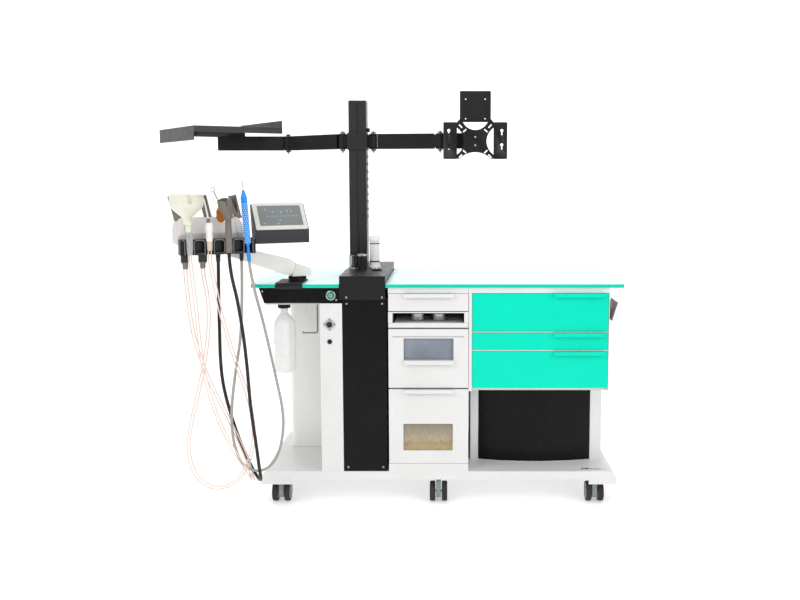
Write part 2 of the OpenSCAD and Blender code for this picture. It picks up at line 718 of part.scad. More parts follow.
module head_housing() {
    color("whitesmoke") placed() on_head() difference() {
        translate([-2, 0, 0]) rotate([90, 0, 90]) linear_extrude(239) polygon([
            [rack_depth, 1003], [rack_depth, 1042], [90, 1096], [150, 1096], [160, 1080], [160, 1003]
        ]);
        rod_z([knuckle_local[0], knuckle_local[1], 1000], 18 + 2 * run, 22);
        rod_z([flask_at[0], flask_at[1], flask_floor], 28 + 2 * run, 60);
    }
    color("dimgray") placed() on_head() for (x = [14, 121, 228]) translate([x, 120, 1088]) rotate([-8, -12, 0])
        difference() {
            cylinder(d = 30, h = 88);
            translate([0, 0, 12]) cylinder(d = 24, h = 90);
            block([-20, -20, 24], [20, -6, 100]);
        }
}

// Rack with four holding slots, dark pockets between them, and the hose connectors
module head_rack() {
    color("black") placed() on_head() {
        difference() {
            pad([0, 0, rack_z0], [rack_w, rack_depth, rack_z1], 6);
            for (i = [0 : 3]) {
                rod_z([hand_x0 + hand_pitch * i, hand_y, rack_z0 - over], 30, 60);
                block([hand_x0 + hand_pitch * i - 15, -10, rack_z0 - over], [hand_x0 + hand_pitch * i + 15, hand_y, rack_z1 + over]);
            }
            for (x = [65, 133, 201]) block([x - 16.5, -over, rack_z0 + 9], [x + 16.5, 26, rack_z1 - 6]);
        }
        rod_x([rack_w - eps, display_pin[0], display_pin[1]], 12, 32);
    }
    color("gray") placed() on_head() for (x = [19, 79]) {
        rod_z([x, 28, 940], 30, 30);
        rod_z([x, 28, 920], 20, 21);
    }
}

// Wedge-shaped display on the stub at the rack's right end
module touch_display() color("dimgray") placed() on_head() difference() {
    translate([rack_w + 2, 0, 0]) rotate([90, 0, 90]) linear_extrude(display_w) polygon([
        [8, 1000.5], [8, 1050], [78, 1143], [86, 1140], [83, 1124], [58, 1000.5]
    ]);
    rod_x([rack_w + 1, display_pin[0], display_pin[1]], 12 + 2 * run, 36);
}

// Moves children to handpiece number i of the rack
module at_hand(i) translate([hand_x0 + hand_pitch * i, hand_y, 0]) children();

// Ear-wash funnel: bowl with a notch in its front rim, neck, tube and handle
module funnel_handpiece() {
    color("ivory") placed() on_head() at_hand(0) difference() {
        translate([-6, 0, 0]) rotate_extrude() polygon([
            [0, 1085], [12, 1077], [13, 1098], [55, 1139], [57, 1176], [61, 1178], [61, 1181],
            [54, 1181], [51, 1140], [9, 1102], [0, 1098]
        ]);
        block([-12, -70, 1160], [2, -30, 1190]);
    }
    color("ivory") placed() on_head() at_hand(0) {
        rod_z([0, 0, 1049], 19, 34);
        rod_z([-3, 0, 1074], 25, 14);
    }
    color("gray") placed() on_head() at_hand(0) rod_z([1, 0, 972], 24, 77 + eps);
}

module syringe_handpiece() color("white") placed() on_head() at_hand(1) {
    rod_z([1, 0, 983], 22, 30);
    rod_z([1, 0, 1012], 27, 70);
    rod_z([-1, 0, 1081], 11, 14);
    translate([-2, 0, 1094]) rotate([0, -8, 0]) cylinder(d1 = 9, d2 = 6, h = 72);
}

module spray_handpiece() color("dimgray") placed() on_head() at_hand(2) {
    rod_z([0, 0, 974], 26, 90);
    rod_z([0, 0, 1060], 22, 44);
    translate([2, 0, 1096]) rotate([8, -16, 0]) difference() {
        cylinder(d1 = 32, d2 = 50, h = 72);
        translate([0, 0, 12]) cylinder(d1 = 26, d2 = 44, h = 72);
        block([-30, -30, 40], [0, 0, 90]);
    }
}

module probe_handpiece() color("dodgerblue") placed() on_head() at_hand(3) translate([-1, 0, 0]) {
    translate([4, 0, 939]) rotate([0, -3.6, 0]) {
        rod_z([0, 0, 0], 14, 30);
        rod_z([0, 0, 20], 11, 50);
        rod_z([0, 0, 60], 23, 170);
        translate([0, 0, 230 - eps]) cylinder(d1 = 23, d2 = 8, h = 26);
        rod_z([0, 0, 250], 3, 45);
    }
}

// Amber bottle that stands in the sloping face of the housing, with its spray nozzle
module atomizer() {
    color([0.7, 0.4, 0.05]) placed() on_head() translate([flask_at[0], flask_at[1], flask_floor + gap]) {
        rod_z([0, 0, 0], 28, 50);
        translate([0, 0, 50 - eps]) cylinder(d1 = 28, d2 = 14, h = 10);
        rod_z([0, 0, 59], 14, 10);
    }
    color("silver") placed() on_head() translate([flask_at[0] + 2, flask_at[1], flask_floor + 68]) rotate([0, -24, 0]) {
        rod_z([0, 0, 0], 6, 34);
        translate([0, 0, 64]) rotate([90, 0, 0]) rotate_extrude() translate([8, 0]) circle(1.6, $fn = 24);
        rod_z([0, 0, 32], 3, 25);
    }
}

// ---------- hoses ----------

// Catmull-Rom point at parameter t along a route, one unit per point
function pick(p, i) = p[max(0, min(len(p) - 1, i))];
function curve(p, t) =
    let (i = min(floor(t), len(p) - 2), u = t - i,
         a = pick(p, i - 1), b = pick(p, i), c = pick(p, i + 1), d = pick(p, i + 2))
    0.5 * (2 * b + (c - a) * u + (2 * a - 5 * b + 4 * c - d) * u * u + (3 * b - a - 3 * c + d) * u * u * u);
function heading(p, t) =
    let (e = 0.02, v = curve(p, min(t + e, len(p) - 1)) - curve(p, max(t - e, 0)))
    v / norm(v);
// The route moved sideways, for one tube of a twin hose
function shifted(p, offset) = [for (q = p) q + [offset, 0, 0]];
// The same in the plane of a loop that turns through the horizontal
function beside(p, offset) =
    [for (i = [0 : len(p) - 1]) let (v = heading(p, i), s = [v[2], 0, -v[0]]) p[i] + offset * s / norm(s)];

// Round tube along a route: rings of points joined by a skin
module hose(p, d, across) {
    n = hose_sides;
    rings = [for (k = [0 : hose_rings])
        let (t = k * (len(p) - 1) / hose_rings, at = curve(p, t), v = heading(p, t),
             s = cross(v, across) / norm(cross(v, across)), w = cross(s, v))
        [for (j = [0 : n - 1]) at + d / 2 * (cos(360 * j / n) * s + sin(360 * j / n) * w)]];
    points = [for (r = rings, q = r) q];
    skin = [for (k = [0 : hose_rings - 1], j = [0 : n - 1]) let (a = k * n + j, b = k * n + (j + 1) % n)
        each [[a, a + n, b + n], [a, b + n, b]]];
    first = [for (j = [0 : n - 1]) j];
    last = [for (j = [n - 1 : -1 : 0]) hose_rings * n + j];
    polyhedron(points, concat([first], skin, [last]));
}

module hose_funnel() color([0.95, 0.85, 0.8]) placed() on_head()
    for (side = [-1, 1]) hose(shifted(route_funnel, side * twin_gap / 2), twin_d, [1, 0, 0]);
module hose_syringe() color([0.95, 0.85, 0.8]) placed() on_head()
    for (side = [-1, 1]) hose(beside(route_syringe, side * twin_gap / 2), twin_d, [0, 1, 0]);
module hose_spray() color([0.2, 0.2, 0.2]) placed() on_head() hose(route_spray, spray_hose_d, [1, 0, 0]);
module hose_probe() color([0.72, 0.72, 0.68]) placed() on_head() hose(route_probe, probe_hose_d, [0, 1, 0]);

base_frame();
carcass_left();
carcass_right();
bay_panel();
worktop_left();
worktop_right();
front_fascia();
column_cover();
cover_hood();
service_box();
pump_cover();
column_post();
arm_collar();
fasteners();
wall_fittings();
arm_base();
castor_fork(0);  // castor_fork_1
castor_fork(1);  // castor_fork_2
castor_fork(2);  // castor_fork_3
castor_fork(3);  // castor_fork_4
castor_fork(4);  // castor_fork_5
castor_wheels(0);  // castor_wheels_1
castor_wheels(1);  // castor_wheels_2
castor_wheels(2);  // castor_wheels_3
castor_wheels(3);  // castor_wheels_4
castor_wheels(4);  // castor_wheels_5
top_drawer();
niche_tray();
mid_drawer();
drop_flap();
bottom_drawer();
green_drawer(0);  // green_drawer_1
green_drawer(1);  // green_drawer_2
green_drawer(2);  // green_drawer_3
power_button();
bottle();
steel_quiver();
tall_cup();
left_link_1();
left_link_2();
side_tray();
right_link_1();
right_link_2();
tilt_head();
monitor_plate();
arm_hub();
balance_arm();
arm_knuckle();
head_housing();
head_rack();
touch_display();
funnel_handpiece();
syringe_handpiece();
spray_handpiece();
probe_handpiece();
atomizer();
hose_funnel();
hose_syringe();
hose_spray();
hose_probe();
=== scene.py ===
"""Looks of a mobile treatment unit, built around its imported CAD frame.

Shapes are drawn in millimetres in the part's drawing datum (X = 0 near the middle of the worktop,
Y = 0 at the front plane of the cabinets, +Y to the back, Z = 0 on the floor), in the frame of the
instrument head, or in the frame of its arm. The matrices below place them in metres.
"""
import json
import math
import random

import bmesh
import bpy
from mathutils import Matrix, Vector

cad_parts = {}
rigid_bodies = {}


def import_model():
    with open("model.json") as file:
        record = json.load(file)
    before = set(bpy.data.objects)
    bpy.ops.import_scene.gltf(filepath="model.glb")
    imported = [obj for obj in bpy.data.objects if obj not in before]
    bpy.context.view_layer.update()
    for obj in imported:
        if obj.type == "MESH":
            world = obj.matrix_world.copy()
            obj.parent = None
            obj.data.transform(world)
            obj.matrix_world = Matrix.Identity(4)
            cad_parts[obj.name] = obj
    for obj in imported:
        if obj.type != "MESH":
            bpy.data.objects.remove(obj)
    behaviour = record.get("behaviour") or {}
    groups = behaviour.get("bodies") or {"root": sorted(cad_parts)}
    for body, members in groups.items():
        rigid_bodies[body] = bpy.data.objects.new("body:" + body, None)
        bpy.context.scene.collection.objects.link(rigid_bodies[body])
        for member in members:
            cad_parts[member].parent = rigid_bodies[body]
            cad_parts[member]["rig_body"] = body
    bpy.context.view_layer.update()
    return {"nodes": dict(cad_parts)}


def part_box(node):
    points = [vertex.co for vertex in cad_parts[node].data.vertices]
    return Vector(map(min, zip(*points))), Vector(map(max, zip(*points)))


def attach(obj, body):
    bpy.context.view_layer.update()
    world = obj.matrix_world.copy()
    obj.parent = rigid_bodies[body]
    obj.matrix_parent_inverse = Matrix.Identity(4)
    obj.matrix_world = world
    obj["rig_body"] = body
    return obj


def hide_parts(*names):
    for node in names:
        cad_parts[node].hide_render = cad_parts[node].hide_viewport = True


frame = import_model()
random.seed(7)

# ---------- frames ----------

MM = 0.001
BEVEL_ABOVE = 40                    # edges sharper than this many degrees are rounded
RIGHT_X0 = 70                       # left side of the right cabinet, in the drawing datum
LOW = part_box("carcass_right")[0]
DATUM = Matrix.Translation((LOW.x - RIGHT_X0 * MM, LOW.y, 0)) @ Matrix.Scale(MM, 4)


def shift(*at):
    return Matrix.Translation(at)


def turn(degrees, axis="Z"):
    return Matrix.Rotation(math.radians(degrees), 4, axis)


HEAD_YAW = 26
ARM_AT = (-577, 75, 0)
SWIVEL = (443, 105)                 # the arm's foot, seen from the head's corner
HEAD = DATUM @ shift(*ARM_AT) @ turn(HEAD_YAW) @ shift(-SWIVEL[0], -SWIVEL[1], 0)
ARM = DATUM @ shift(*ARM_AT) @ turn(HEAD_YAW + 180)
HAND_X = [31, 99, 167, 235]         # the four slots of the rack
HAND_Y = 5


# ---------- shapes, drawn in millimetres ----------

def arc(cx, cy, r, start, end, steps=8):
    """Points along an arc, in degrees."""
    angles = [math.radians(start + (end - start) * i / steps) for i in range(steps + 1)]
    return [(cx + r * math.cos(a), cy + r * math.sin(a)) for a in angles]


def circle(cx, cy, r, count, start=0):
    """Points evenly round a circle, from an angle in degrees."""
    return arc(cx, cy, r, start, start + 360, count)[:-1]


def corner(start, here, end, steps):
    """Points along the curve that rounds a corner."""
    return [(1 - t) ** 2 * start + 2 * t * (1 - t) * here + t * t * end
            for t in (k / steps for k in range(steps + 1))]


def soft(points, r, closed=True, steps=4):
    """The same outline with every corner rounded to radius r, or less where an edge is short."""
    out = []
    n = len(points)
    for i, p in enumerate(points):
        if not closed and i in (0, n - 1):
            out.append(tuple(p))
            continue
        here = Vector(p)
        a, b = Vector(points[i - 1]) - here, Vector(points[(i + 1) % n]) - here
        angle = a.angle(b)
        reach = min(r / max(math.tan(angle / 2), 0.05), 0.49 * a.length, 0.49 * b.length)
        start, end = here + a.normalized() * reach, here + b.normalized() * reach
        out += [tuple(q) for q in corner(start, here, end, steps)]
    return out


def soft_line(points, r, steps=4):
    """An open outline with its inner corners rounded."""
    return soft(points, r, False, steps)


def rectangle(x0, y0, x1, y1):
    return [(x0, y0), (x1, y0), (x1, y1), (x0, y1)]


class Form:
    """A mesh built up from prisms, turned shapes and tubes. slot picks the material of what follows."""

    def __init__(self):
        self.bm = bmesh.new()
        self.slot = 0

    def join(self, rings, closed):
        """Faces between rings of vertices, one after the other; a ring of one vertex is a tip."""
        for a, b in zip(rings, rings[1:] + rings[:1] if closed else rings[1:]):
            for i in range(max(len(a), len(b))):
                j = i + 1
                quad = [a[i % len(a)], a[j % len(a)], b[j % len(b)], b[i % len(b)]]
                unique = [v for k, v in enumerate(quad) if v not in quad[:k]]
                if len(unique) > 2:
                    self.bm.faces.new(unique).material_index = self.slot

    def loft(self, rings, closed=False, caps=True):
        """A skin over rings of points; closed joins the last to the first, and caps shut both ends."""
        verts = [[self.bm.verts.new(p) for p in ring] for ring in rings]
        self.join(verts, closed)
        if caps and not closed:
            self.bm.faces.new(verts[0][::-1]).material_index = self.slot
            self.bm.faces.new(verts[-1]).material_index = self.slot
        return self

    def prism(self, outline, low, high, axis="z"):
        """An outline extruded from low to high along an axis; it lies in the other two, in order."""
        return self.loft([[{"x": (w, u, v), "y": (u, w, v), "z": (u, v, w)}[axis] for u, v in outline]
                          for w in (low, high)])

    def slab(self, x0, y0, x1, y1, r, low, high, axis="z"):
        """A rectangle with corners of radius r, extruded."""
        return self.prism(soft(rectangle(x0, y0, x1, y1), r), low, high, axis)

    def box(self, low, high):
        return self.prism(rectangle(low[0], low[1], high[0], high[1]), low[2], high[2])

    def lathe(self, profile, at=(0, 0, 0), axis="z", steps=40, closed=False, swell=None):
        """A profile of (radius, height) turned about an axis; its ends close on the axis at radius 0.

        swell gives a radius to add at an angle and a height.
        """
        matrix = shift(*at) @ {"x": turn(90, "Y"), "y": turn(-90, "X"), "z": Matrix()}[axis]
        rings = []
        for r, h in profile:
            angles = [math.tau * i / steps for i in range(1 if r < 1e-6 else steps)]
            radii = [r + swell(a, h) if swell and r else r for a in angles]
            rings.append([self.bm.verts.new(matrix @ Vector((q * math.cos(a), q * math.sin(a), h)))
                          for q, a in zip(radii, angles)])
        self.join(rings, closed)
        return self

    def rod(self, at, d, h, axis="z", round_by=0.6, steps=32):
        """A cylinder from a point along an axis, with rounded rims."""
        r, e = d / 2, min(round_by, d / 4, h / 2.5)
        profile = [(0, 0), (r - e, 0), (r - 0.3 * e, 0.3 * e), (r, e),
                   (r, h - e), (r - 0.3 * e, h - 0.3 * e), (r - e, h), (0, h)]
        return self.lathe(profile, at, axis, steps)

    def tube(self, path, d, steps=12, closed=False):
        """A round wire or pipe along a path."""
        path = [Vector(p) for p in path]
        last = len(path) - 1
        side, rings = None, []
        for i, p in enumerate(path):
            ahead = path[(i + 1) % len(path)] if closed or i < last else p
            behind = path[i - 1] if closed or i > 0 else p
            way = (ahead - behind).normalized()
            side = (side or way.orthogonal())
            side = (side - way * side.dot(way)).normalized()
            up = way.cross(side)
            rings.append([p + Vector(u * side + v * up) for u, v in circle(0, 0, d / 2, steps)])
        return self.loft(rings, closed)

    def material(self, index):
        self.slot = index
        return self


def bent(points, r, steps=6):
    """A path in space with its corners rounded."""
    out = [Vector(points[0])]
    for a, p, b in zip(points, points[1:], points[2:]):
        here = Vector(p)
        to_a, to_b = Vector(a) - here, Vector(b) - here
        start = here + to_a.normalized() * min(r, to_a.length / 2)
        end = here + to_b.normalized() * min(r, to_b.length / 2)
        out += corner(start, here, end, steps)
    return out + [Vector(points[-1])]


def put(name, data):
    """A new object of the scene."""
    obj = bpy.data.objects.new(name, data)
    bpy.context.scene.collection.objects.link(obj)
    return obj


def put_mesh(name, bm):
    mesh = bpy.data.meshes.new(name)
    bm.to_mesh(mesh)
    bm.free()
    return put(name, mesh)


def finish_piece(obj, body, finishes, bevel, smooth, stands_for):
    """Finishes, shading, rounded edges, body and slot of a new piece; finishes are names in F."""
    finishes = [F[one] for one in finishes.split()]
    for one in finishes:
        obj.data.materials.append(one)
    obj.data.shade_smooth()
    obj.data.set_sharp_from_angle(angle=math.radians(smooth))
    if bevel:
        edge = obj.modifiers.new("rounded_edges", "BEVEL")
        edge.width = bevel * MM
        edge.segments = 2
        edge.limit_method = "ANGLE"
        edge.angle_limit = math.radians(BEVEL_ABOVE)
        edge.harden_normals = True
    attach(obj, body)
    if stands_for:
        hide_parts(stands_for)
    return obj


def mesh_object(name, form, where):
    form.bm.transform(where)
    bmesh.ops.recalc_face_normals(form.bm, faces=form.bm.faces)
    return put_mesh(name, form.bm)


def piece(name, form, body, finishes, where=DATUM, bevel=0, smooth=35, stands_for="", cut=None):
    """A new piece from a form, with another form cut out of it."""
    obj = mesh_object(name, form, where)
    if cut is not None:
        tool = mesh_object(name + "_tool", cut, where)
        hole = obj.modifiers.new("hole", "BOOLEAN")
        hole.object = tool
        hole.solver = "EXACT"
        shaped = bpy.data.meshes.new_from_object(obj.evaluated_get(bpy.context.evaluated_depsgraph_get()))
        obj.modifiers.clear()
        obj.data = shaped
        shaped.materials.clear()
        bpy.data.objects.remove(tool)
    return finish_piece(obj, body, finishes, bevel, smooth, stands_for)


def on_head(name, form, finishes, where=None, **more):
    """A piece of the instrument head, drawn in the head's frame unless where says otherwise."""
    return piece(name, form, "head", finishes, where or HEAD, **more)


def dress(node, finishes, bevel=0.8, pick=None, smooth=35):
    """A copy of a CAD node with rounded edges; pick chooses each face's finish from its middle and normal."""
    source = frame["nodes"][node]
    bm = bmesh.new()
    bm.from_mesh(source.data)
    bmesh.ops.remove_doubles(bm, verts=bm.verts, dist=2e-6)
    bmesh.ops.dissolve_limit(bm, angle_limit=math.radians(0.5), verts=bm.verts, edges=bm.edges)
    to_mm = DATUM.inverted()
    for face in bm.faces:
        face.material_index = pick(to_mm @ face.calc_center_median(), face.normal) if pick else 0
    return finish_piece(put_mesh(node + "_skin", bm), source["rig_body"], finishes, bevel, smooth, node)


# ---------- finishes ----------

class Graph:
    """Short names for the shader nodes of one material."""

    def __init__(self, name, slot):
        self.material = bpy.data.materials.new(name)
        self.material.use_nodes = True
        self.material["slot"] = slot
        self.tree = self.material.node_tree
        self.shader = self.tree.nodes["Principled BSDF"]
        self.coords = self.add("ShaderNodeTexCoord").outputs["Object"]

    def add(self, kind, **values):
        """A shader node; values set its sockets, written with _ for spaces, or else its own properties."""
        node = self.tree.nodes.new(kind)
        for key, value in values.items():
            if key.replace("_", " ") in node.inputs:
                node.inputs[key.replace("_", " ")].default_value = value
            else:
                setattr(node, key, value)
        return node

    def link(self, a, b):
        self.tree.links.new(a, b)

    def noise(self, scale, detail=3.0, stretch=(1, 1, 1), rough=0.5):
        placed = self.add("ShaderNodeMapping", Scale=stretch)
        self.link(self.coords, placed.inputs["Vector"])
        texture = self.add("ShaderNodeTexNoise", Scale=scale, Detail=detail, Roughness=rough)
        self.link(placed.outputs["Vector"], texture.inputs["Vector"])
        return texture.outputs["Fac"]

    def between(self, factor, low, high, start=0.3, end=0.7):
        """A factor spread over a range of numbers."""
        spread = self.add("ShaderNodeMapRange", From_Min=start, From_Max=end, To_Min=low, To_Max=high)
        self.link(factor, spread.inputs["Value"])
        return spread.outputs["Result"]

    def ramp(self, factor, stops):
        """A factor turned into colours: stops are (position, colour)."""
        node = self.add("ShaderNodeValToRGB")
        ramp = node.color_ramp
        while len(ramp.elements) < len(stops):
            ramp.elements.new(0.5)
        for element, (position, color) in zip(ramp.elements, stops):
            element.position = position
            element.color = (*color, 1)
        self.link(factor, node.inputs["Fac"])
        return node.outputs["Color"]

    def bump(self, height, strength, distance=0.0004):
        node = self.add("ShaderNodeBump", Strength=strength, Distance=distance)
        self.link(height, node.inputs["Height"])
        self.link(node.outputs["Normal"], self.shader.inputs["Normal"])

    def set(self, **values):
        for key, value in values.items():
            self.shader.inputs[key.replace("_", " ")].default_value = value


def shade(color, factor):
    return tuple(min(1.0, c * factor) for c in color)


def finish(name, slot, color, rough, tone, grain, bump, spread=0.08, stretch=(1, 1, 1), worn=None, shine=0.5,
           coat=0.0, **values):
    """A finish with uneven tone and gloss, a fine surface grain and, if worn, paler edges."""
    g = Graph(name, slot)
    cloud = g.noise(9, 4)
    tint = g.ramp(cloud, [(0.3, shade(color, 1 - tone)), (0.7, shade(color, 1 + tone))])
    if worn:
        edge = g.add("ShaderNodeNewGeometry").outputs["Pointiness"]
        scuffs = g.add("ShaderNodeMath", operation="MULTIPLY")
        g.link(g.between(edge, 0, 1, 0.53, 0.62), scuffs.inputs[0])
        g.link(g.noise(160, 5), scuffs.inputs[1])
        mix = g.add("ShaderNodeMix", data_type="RGBA")
        g.link(scuffs.outputs[0], mix.inputs["Factor"])
        g.link(tint, mix.inputs["A"])
        mix.inputs["B"].default_value = (*worn, 1)
        tint = mix.outputs["Result"]
    g.link(tint, g.shader.inputs["Base Color"])
    g.link(g.between(g.noise(35, 5), rough - spread, rough + spread), g.shader.inputs["Roughness"])
    g.bump(g.noise(grain, 3, stretch), bump)
    g.set(Specular_IOR_Level=shine, Coat_Weight=coat, **values)
    return g.material


def bristle_finish():
    """Gold bristles seen end to side: fine upright streaks, darker at the top."""
    g = Graph("gold_bristles", "white_board")
    streaks = g.noise(60, 5, (12, 12, 0.6), 0.7)
    height = g.add("ShaderNodeSeparateXYZ")
    g.link(g.coords, height.inputs["Vector"])
    low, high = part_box("bottom_drawer")[0].z + 0.049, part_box("bottom_drawer")[0].z + 0.153
    level = g.between(height.outputs["Z"], 0, 0.45, low, high)
    total = g.add("ShaderNodeMath", operation="SUBTRACT")
    g.link(streaks, total.inputs[0])
    g.link(level, total.inputs[1])
    stops = [(0.0, (0.22, 0.19, 0.15)), (0.28, (0.36, 0.31, 0.22)), (0.6, (0.78, 0.60, 0.30))]
    g.link(g.ramp(total.outputs[0], stops), g.shader.inputs["Base Color"])
    g.bump(streaks, 0.5, 0.001)
    g.set(Roughness=0.38, Metallic=0.35)
    return g.material


def make_finishes():
    """All finishes by name: slot of the part, colour, roughness, unevenness, grain size and grain depth."""
    f = {}

    def add(name, *values, **more):
        f[name] = finish(name, *values, **more)

    add("white_lacquer", "white_board", (0.73, 0.725, 0.72), 0.36, 0.02, 420, 0.03, shine=0.3)
    add("white_powder", "white_lacquer", (0.72, 0.715, 0.71), 0.42, 0.02, 1600, 0.05)
    add("drawer_box", "white_board", (0.62, 0.63, 0.64), 0.45, 0.04, 1500, 0.1)
    add("teal_lacquer", "green_board", (0.0, 0.71, 0.49), 0.30, 0.02, 420, 0.03, shine=0.12)
    add("glass_face", "edge_glass", (0.68, 0.90, 0.88), 0.25, 0.02, 60, 0.01, spread=0.03, shine=0.12)
    add("glass_edge", "edge_glass", (0.0, 0.58, 0.40), 0.14, 0.05, 200, 0.05, spread=0.04, shine=0.3)
    add("black_gloss", "black_gloss", (0.006, 0.005, 0.005), 0.30, 0.15, 500, 0.04, shine=0.13)
    add("black_powder", "black_metal", (0.010, 0.0095, 0.010), 0.46, 0.12, 1900, 0.25,
        worn=(0.08, 0.08, 0.08), shine=0.2)
    add("grey_powder", "grey_metal", (0.035, 0.034, 0.036), 0.44, 0.08, 1900, 0.22, worn=(0.16, 0.15, 0.15),
        shine=0.3)
    add("anodised", "post_alu", (0.022, 0.021, 0.022), 0.36, 0.08, 240, 0.08, stretch=(8, 8, 0.15),
        shine=0.35)
    add("steel", "steel", (0.52, 0.52, 0.53), 0.28, 0.05, 260, 0.08, stretch=(1, 1, 9), Metallic=1.0)
    add("zinc", "steel", (0.42, 0.43, 0.42), 0.36, 0.12, 700, 0.2, Metallic=1.0)
    add("dark_steel", "steel", (0.20, 0.20, 0.21), 0.34, 0.15, 700, 0.2, Metallic=0.9)
    add("castor_grey", "castor_grey", (0.28, 0.32, 0.31), 0.48, 0.05, 1400, 0.2)
    add("tread", "tread", (0.030, 0.028, 0.030), 0.62, 0.12, 800, 0.3, shine=0.25)
    add("cream", "cream_plastic", (0.86, 0.855, 0.81), 0.40, 0.03, 1300, 0.08)
    add("bezel", "cream_plastic", (0.60, 0.595, 0.55), 0.40, 0.03, 1300, 0.1)
    add("housing", "cream_plastic", (0.62, 0.59, 0.575), 0.36, 0.03, 1300, 0.12)
    add("white_plastic", "white_plastic", (0.84, 0.84, 0.82), 0.34, 0.02, 900, 0.08)
    add("dark_plastic", "dark_plastic", (0.034, 0.034, 0.036), 0.42, 0.08, 1500, 0.25, shine=0.25)
    add("warm_grey", "dark_plastic", (0.19, 0.165, 0.14), 0.44, 0.12, 1300, 0.2, worn=(0.26, 0.24, 0.21),
        shine=0.3)
    add("black_plastic", "black_plastic", (0.011, 0.0095, 0.0095), 0.36, 0.12, 1300, 0.2, shine=0.25)
    add("rim_grey", "mid_grey_plastic", (0.21, 0.195, 0.185), 0.42, 0.08, 1300, 0.2)
    add("mid_grey", "mid_grey_plastic", (0.15, 0.14, 0.135), 0.42, 0.06, 1300, 0.2)
    add("pale_grey", "mid_grey_plastic", (0.40, 0.42, 0.42), 0.40, 0.06, 1200, 0.15)
    add("ivory", "ivory_plastic", (0.74, 0.74, 0.62), 0.22, 0.03, 300, 0.03, spread=0.05,
        Subsurface_Weight=0.08, Subsurface_Radius=(0.003, 0.003, 0.002), coat=0.3)
    add("beige", "ivory_plastic", (0.66, 0.56, 0.47), 0.35, 0.04, 600, 0.05)
    add("blue", "blue_plastic", (0.0, 0.25, 0.80), 0.30, 0.08, 700, 0.1, coat=0.2)
    add("pale_blue", "blue_plastic", (0.62, 0.82, 0.97), 0.4, 0.1, 900, 0.2)
    add("button_green", "button_green", (0.0, 0.30, 0.13), 0.22, 0.05, 600, 0.03, coat=0.4)
    add("pane", "pale_pane", (0.20, 0.235, 0.28), 0.16, 0.25, 120, 0.03, spread=0.04, coat=0.4)
    add("screen", "pale_pane", (0.175, 0.195, 0.195), 0.30, 0.06, 200, 0.01, spread=0.03, shine=0.2)
    add("icon", "pale_pane", (0.42, 0.45, 0.45), 0.4, 0.02, 500, 0.02)
    add("milk_bottle", "bottle_white", (0.84, 0.85, 0.84), 0.32, 0.02, 260, 0.06, Subsurface_Weight=0.25,
        Subsurface_Radius=(0.01, 0.01, 0.01))
    add("amber", "amber", (0.56, 0.17, 0.0), 0.10, 0.35, 120, 0.03, spread=0.03, coat=0.6)
    add("pink_tube", "pink_tube", (0.80, 0.62, 0.54), 0.26, 0.04, 200, 0.03, coat=0.4)
    add("black_hose", "black_hose", (0.020, 0.017, 0.017), 0.40, 0.12, 700, 0.15, shine=0.3)
    add("grey_hose", "grey_hose", (0.36, 0.355, 0.32), 0.42, 0.05, 700, 0.12)
    add("bronze", "steel", (0.30, 0.17, 0.12), 0.3, 0.1, 500, 0.1, Metallic=0.8)
    f["bristles"] = bristle_finish()
    return f


F = make_finishes()


# ---------- camera and hoses ----------

EYE, LOOK_DOWN = (0, -3314, 1255), 5.9


def add_camera():
    """The viewpoint: in front of the column, level with its arms, looking slightly down."""
    data = bpy.data.cameras.new("camera")
    data.lens = 40.6
    data.shift_x, data.shift_y = -0.0625, -0.0425
    camera = put("camera", data)
    camera.location = DATUM @ Vector(EYE)
    camera.rotation_euler = (math.radians(90 - LOOK_DOWN), 0, 0)
    bpy.context.scene.camera = camera


def spline(points, steps=8):
    """A Catmull-Rom curve through points."""
    p = [Vector(q) for q in points]
    p = [p[0]] + p + [p[-1]]
    out = []
    for a, b, c, d in zip(p, p[1:], p[2:], p[3:]):
        for k in range(steps):
            u = k / steps
            out.append(0.5 * (2 * b + (c - a) * u + (2 * a - 5 * b + 4 * c - d) * u * u
                              + (3 * b - a - 3 * c + d) * u ** 3))
    return out + [p[-1]]


def beside(points, offset):
    """A route moved sideways in the plane of its loop, for one tube of a twin hose."""
    p = [Vector(q) for q in points]
    out = []
    for i, q in enumerate(p):
        way = p[min(i + 1, len(p) - 1)] - p[max(i - 1, 0)]
        out.append(q + offset * Vector((way.z, 0, -way.x)).normalized())
    return out


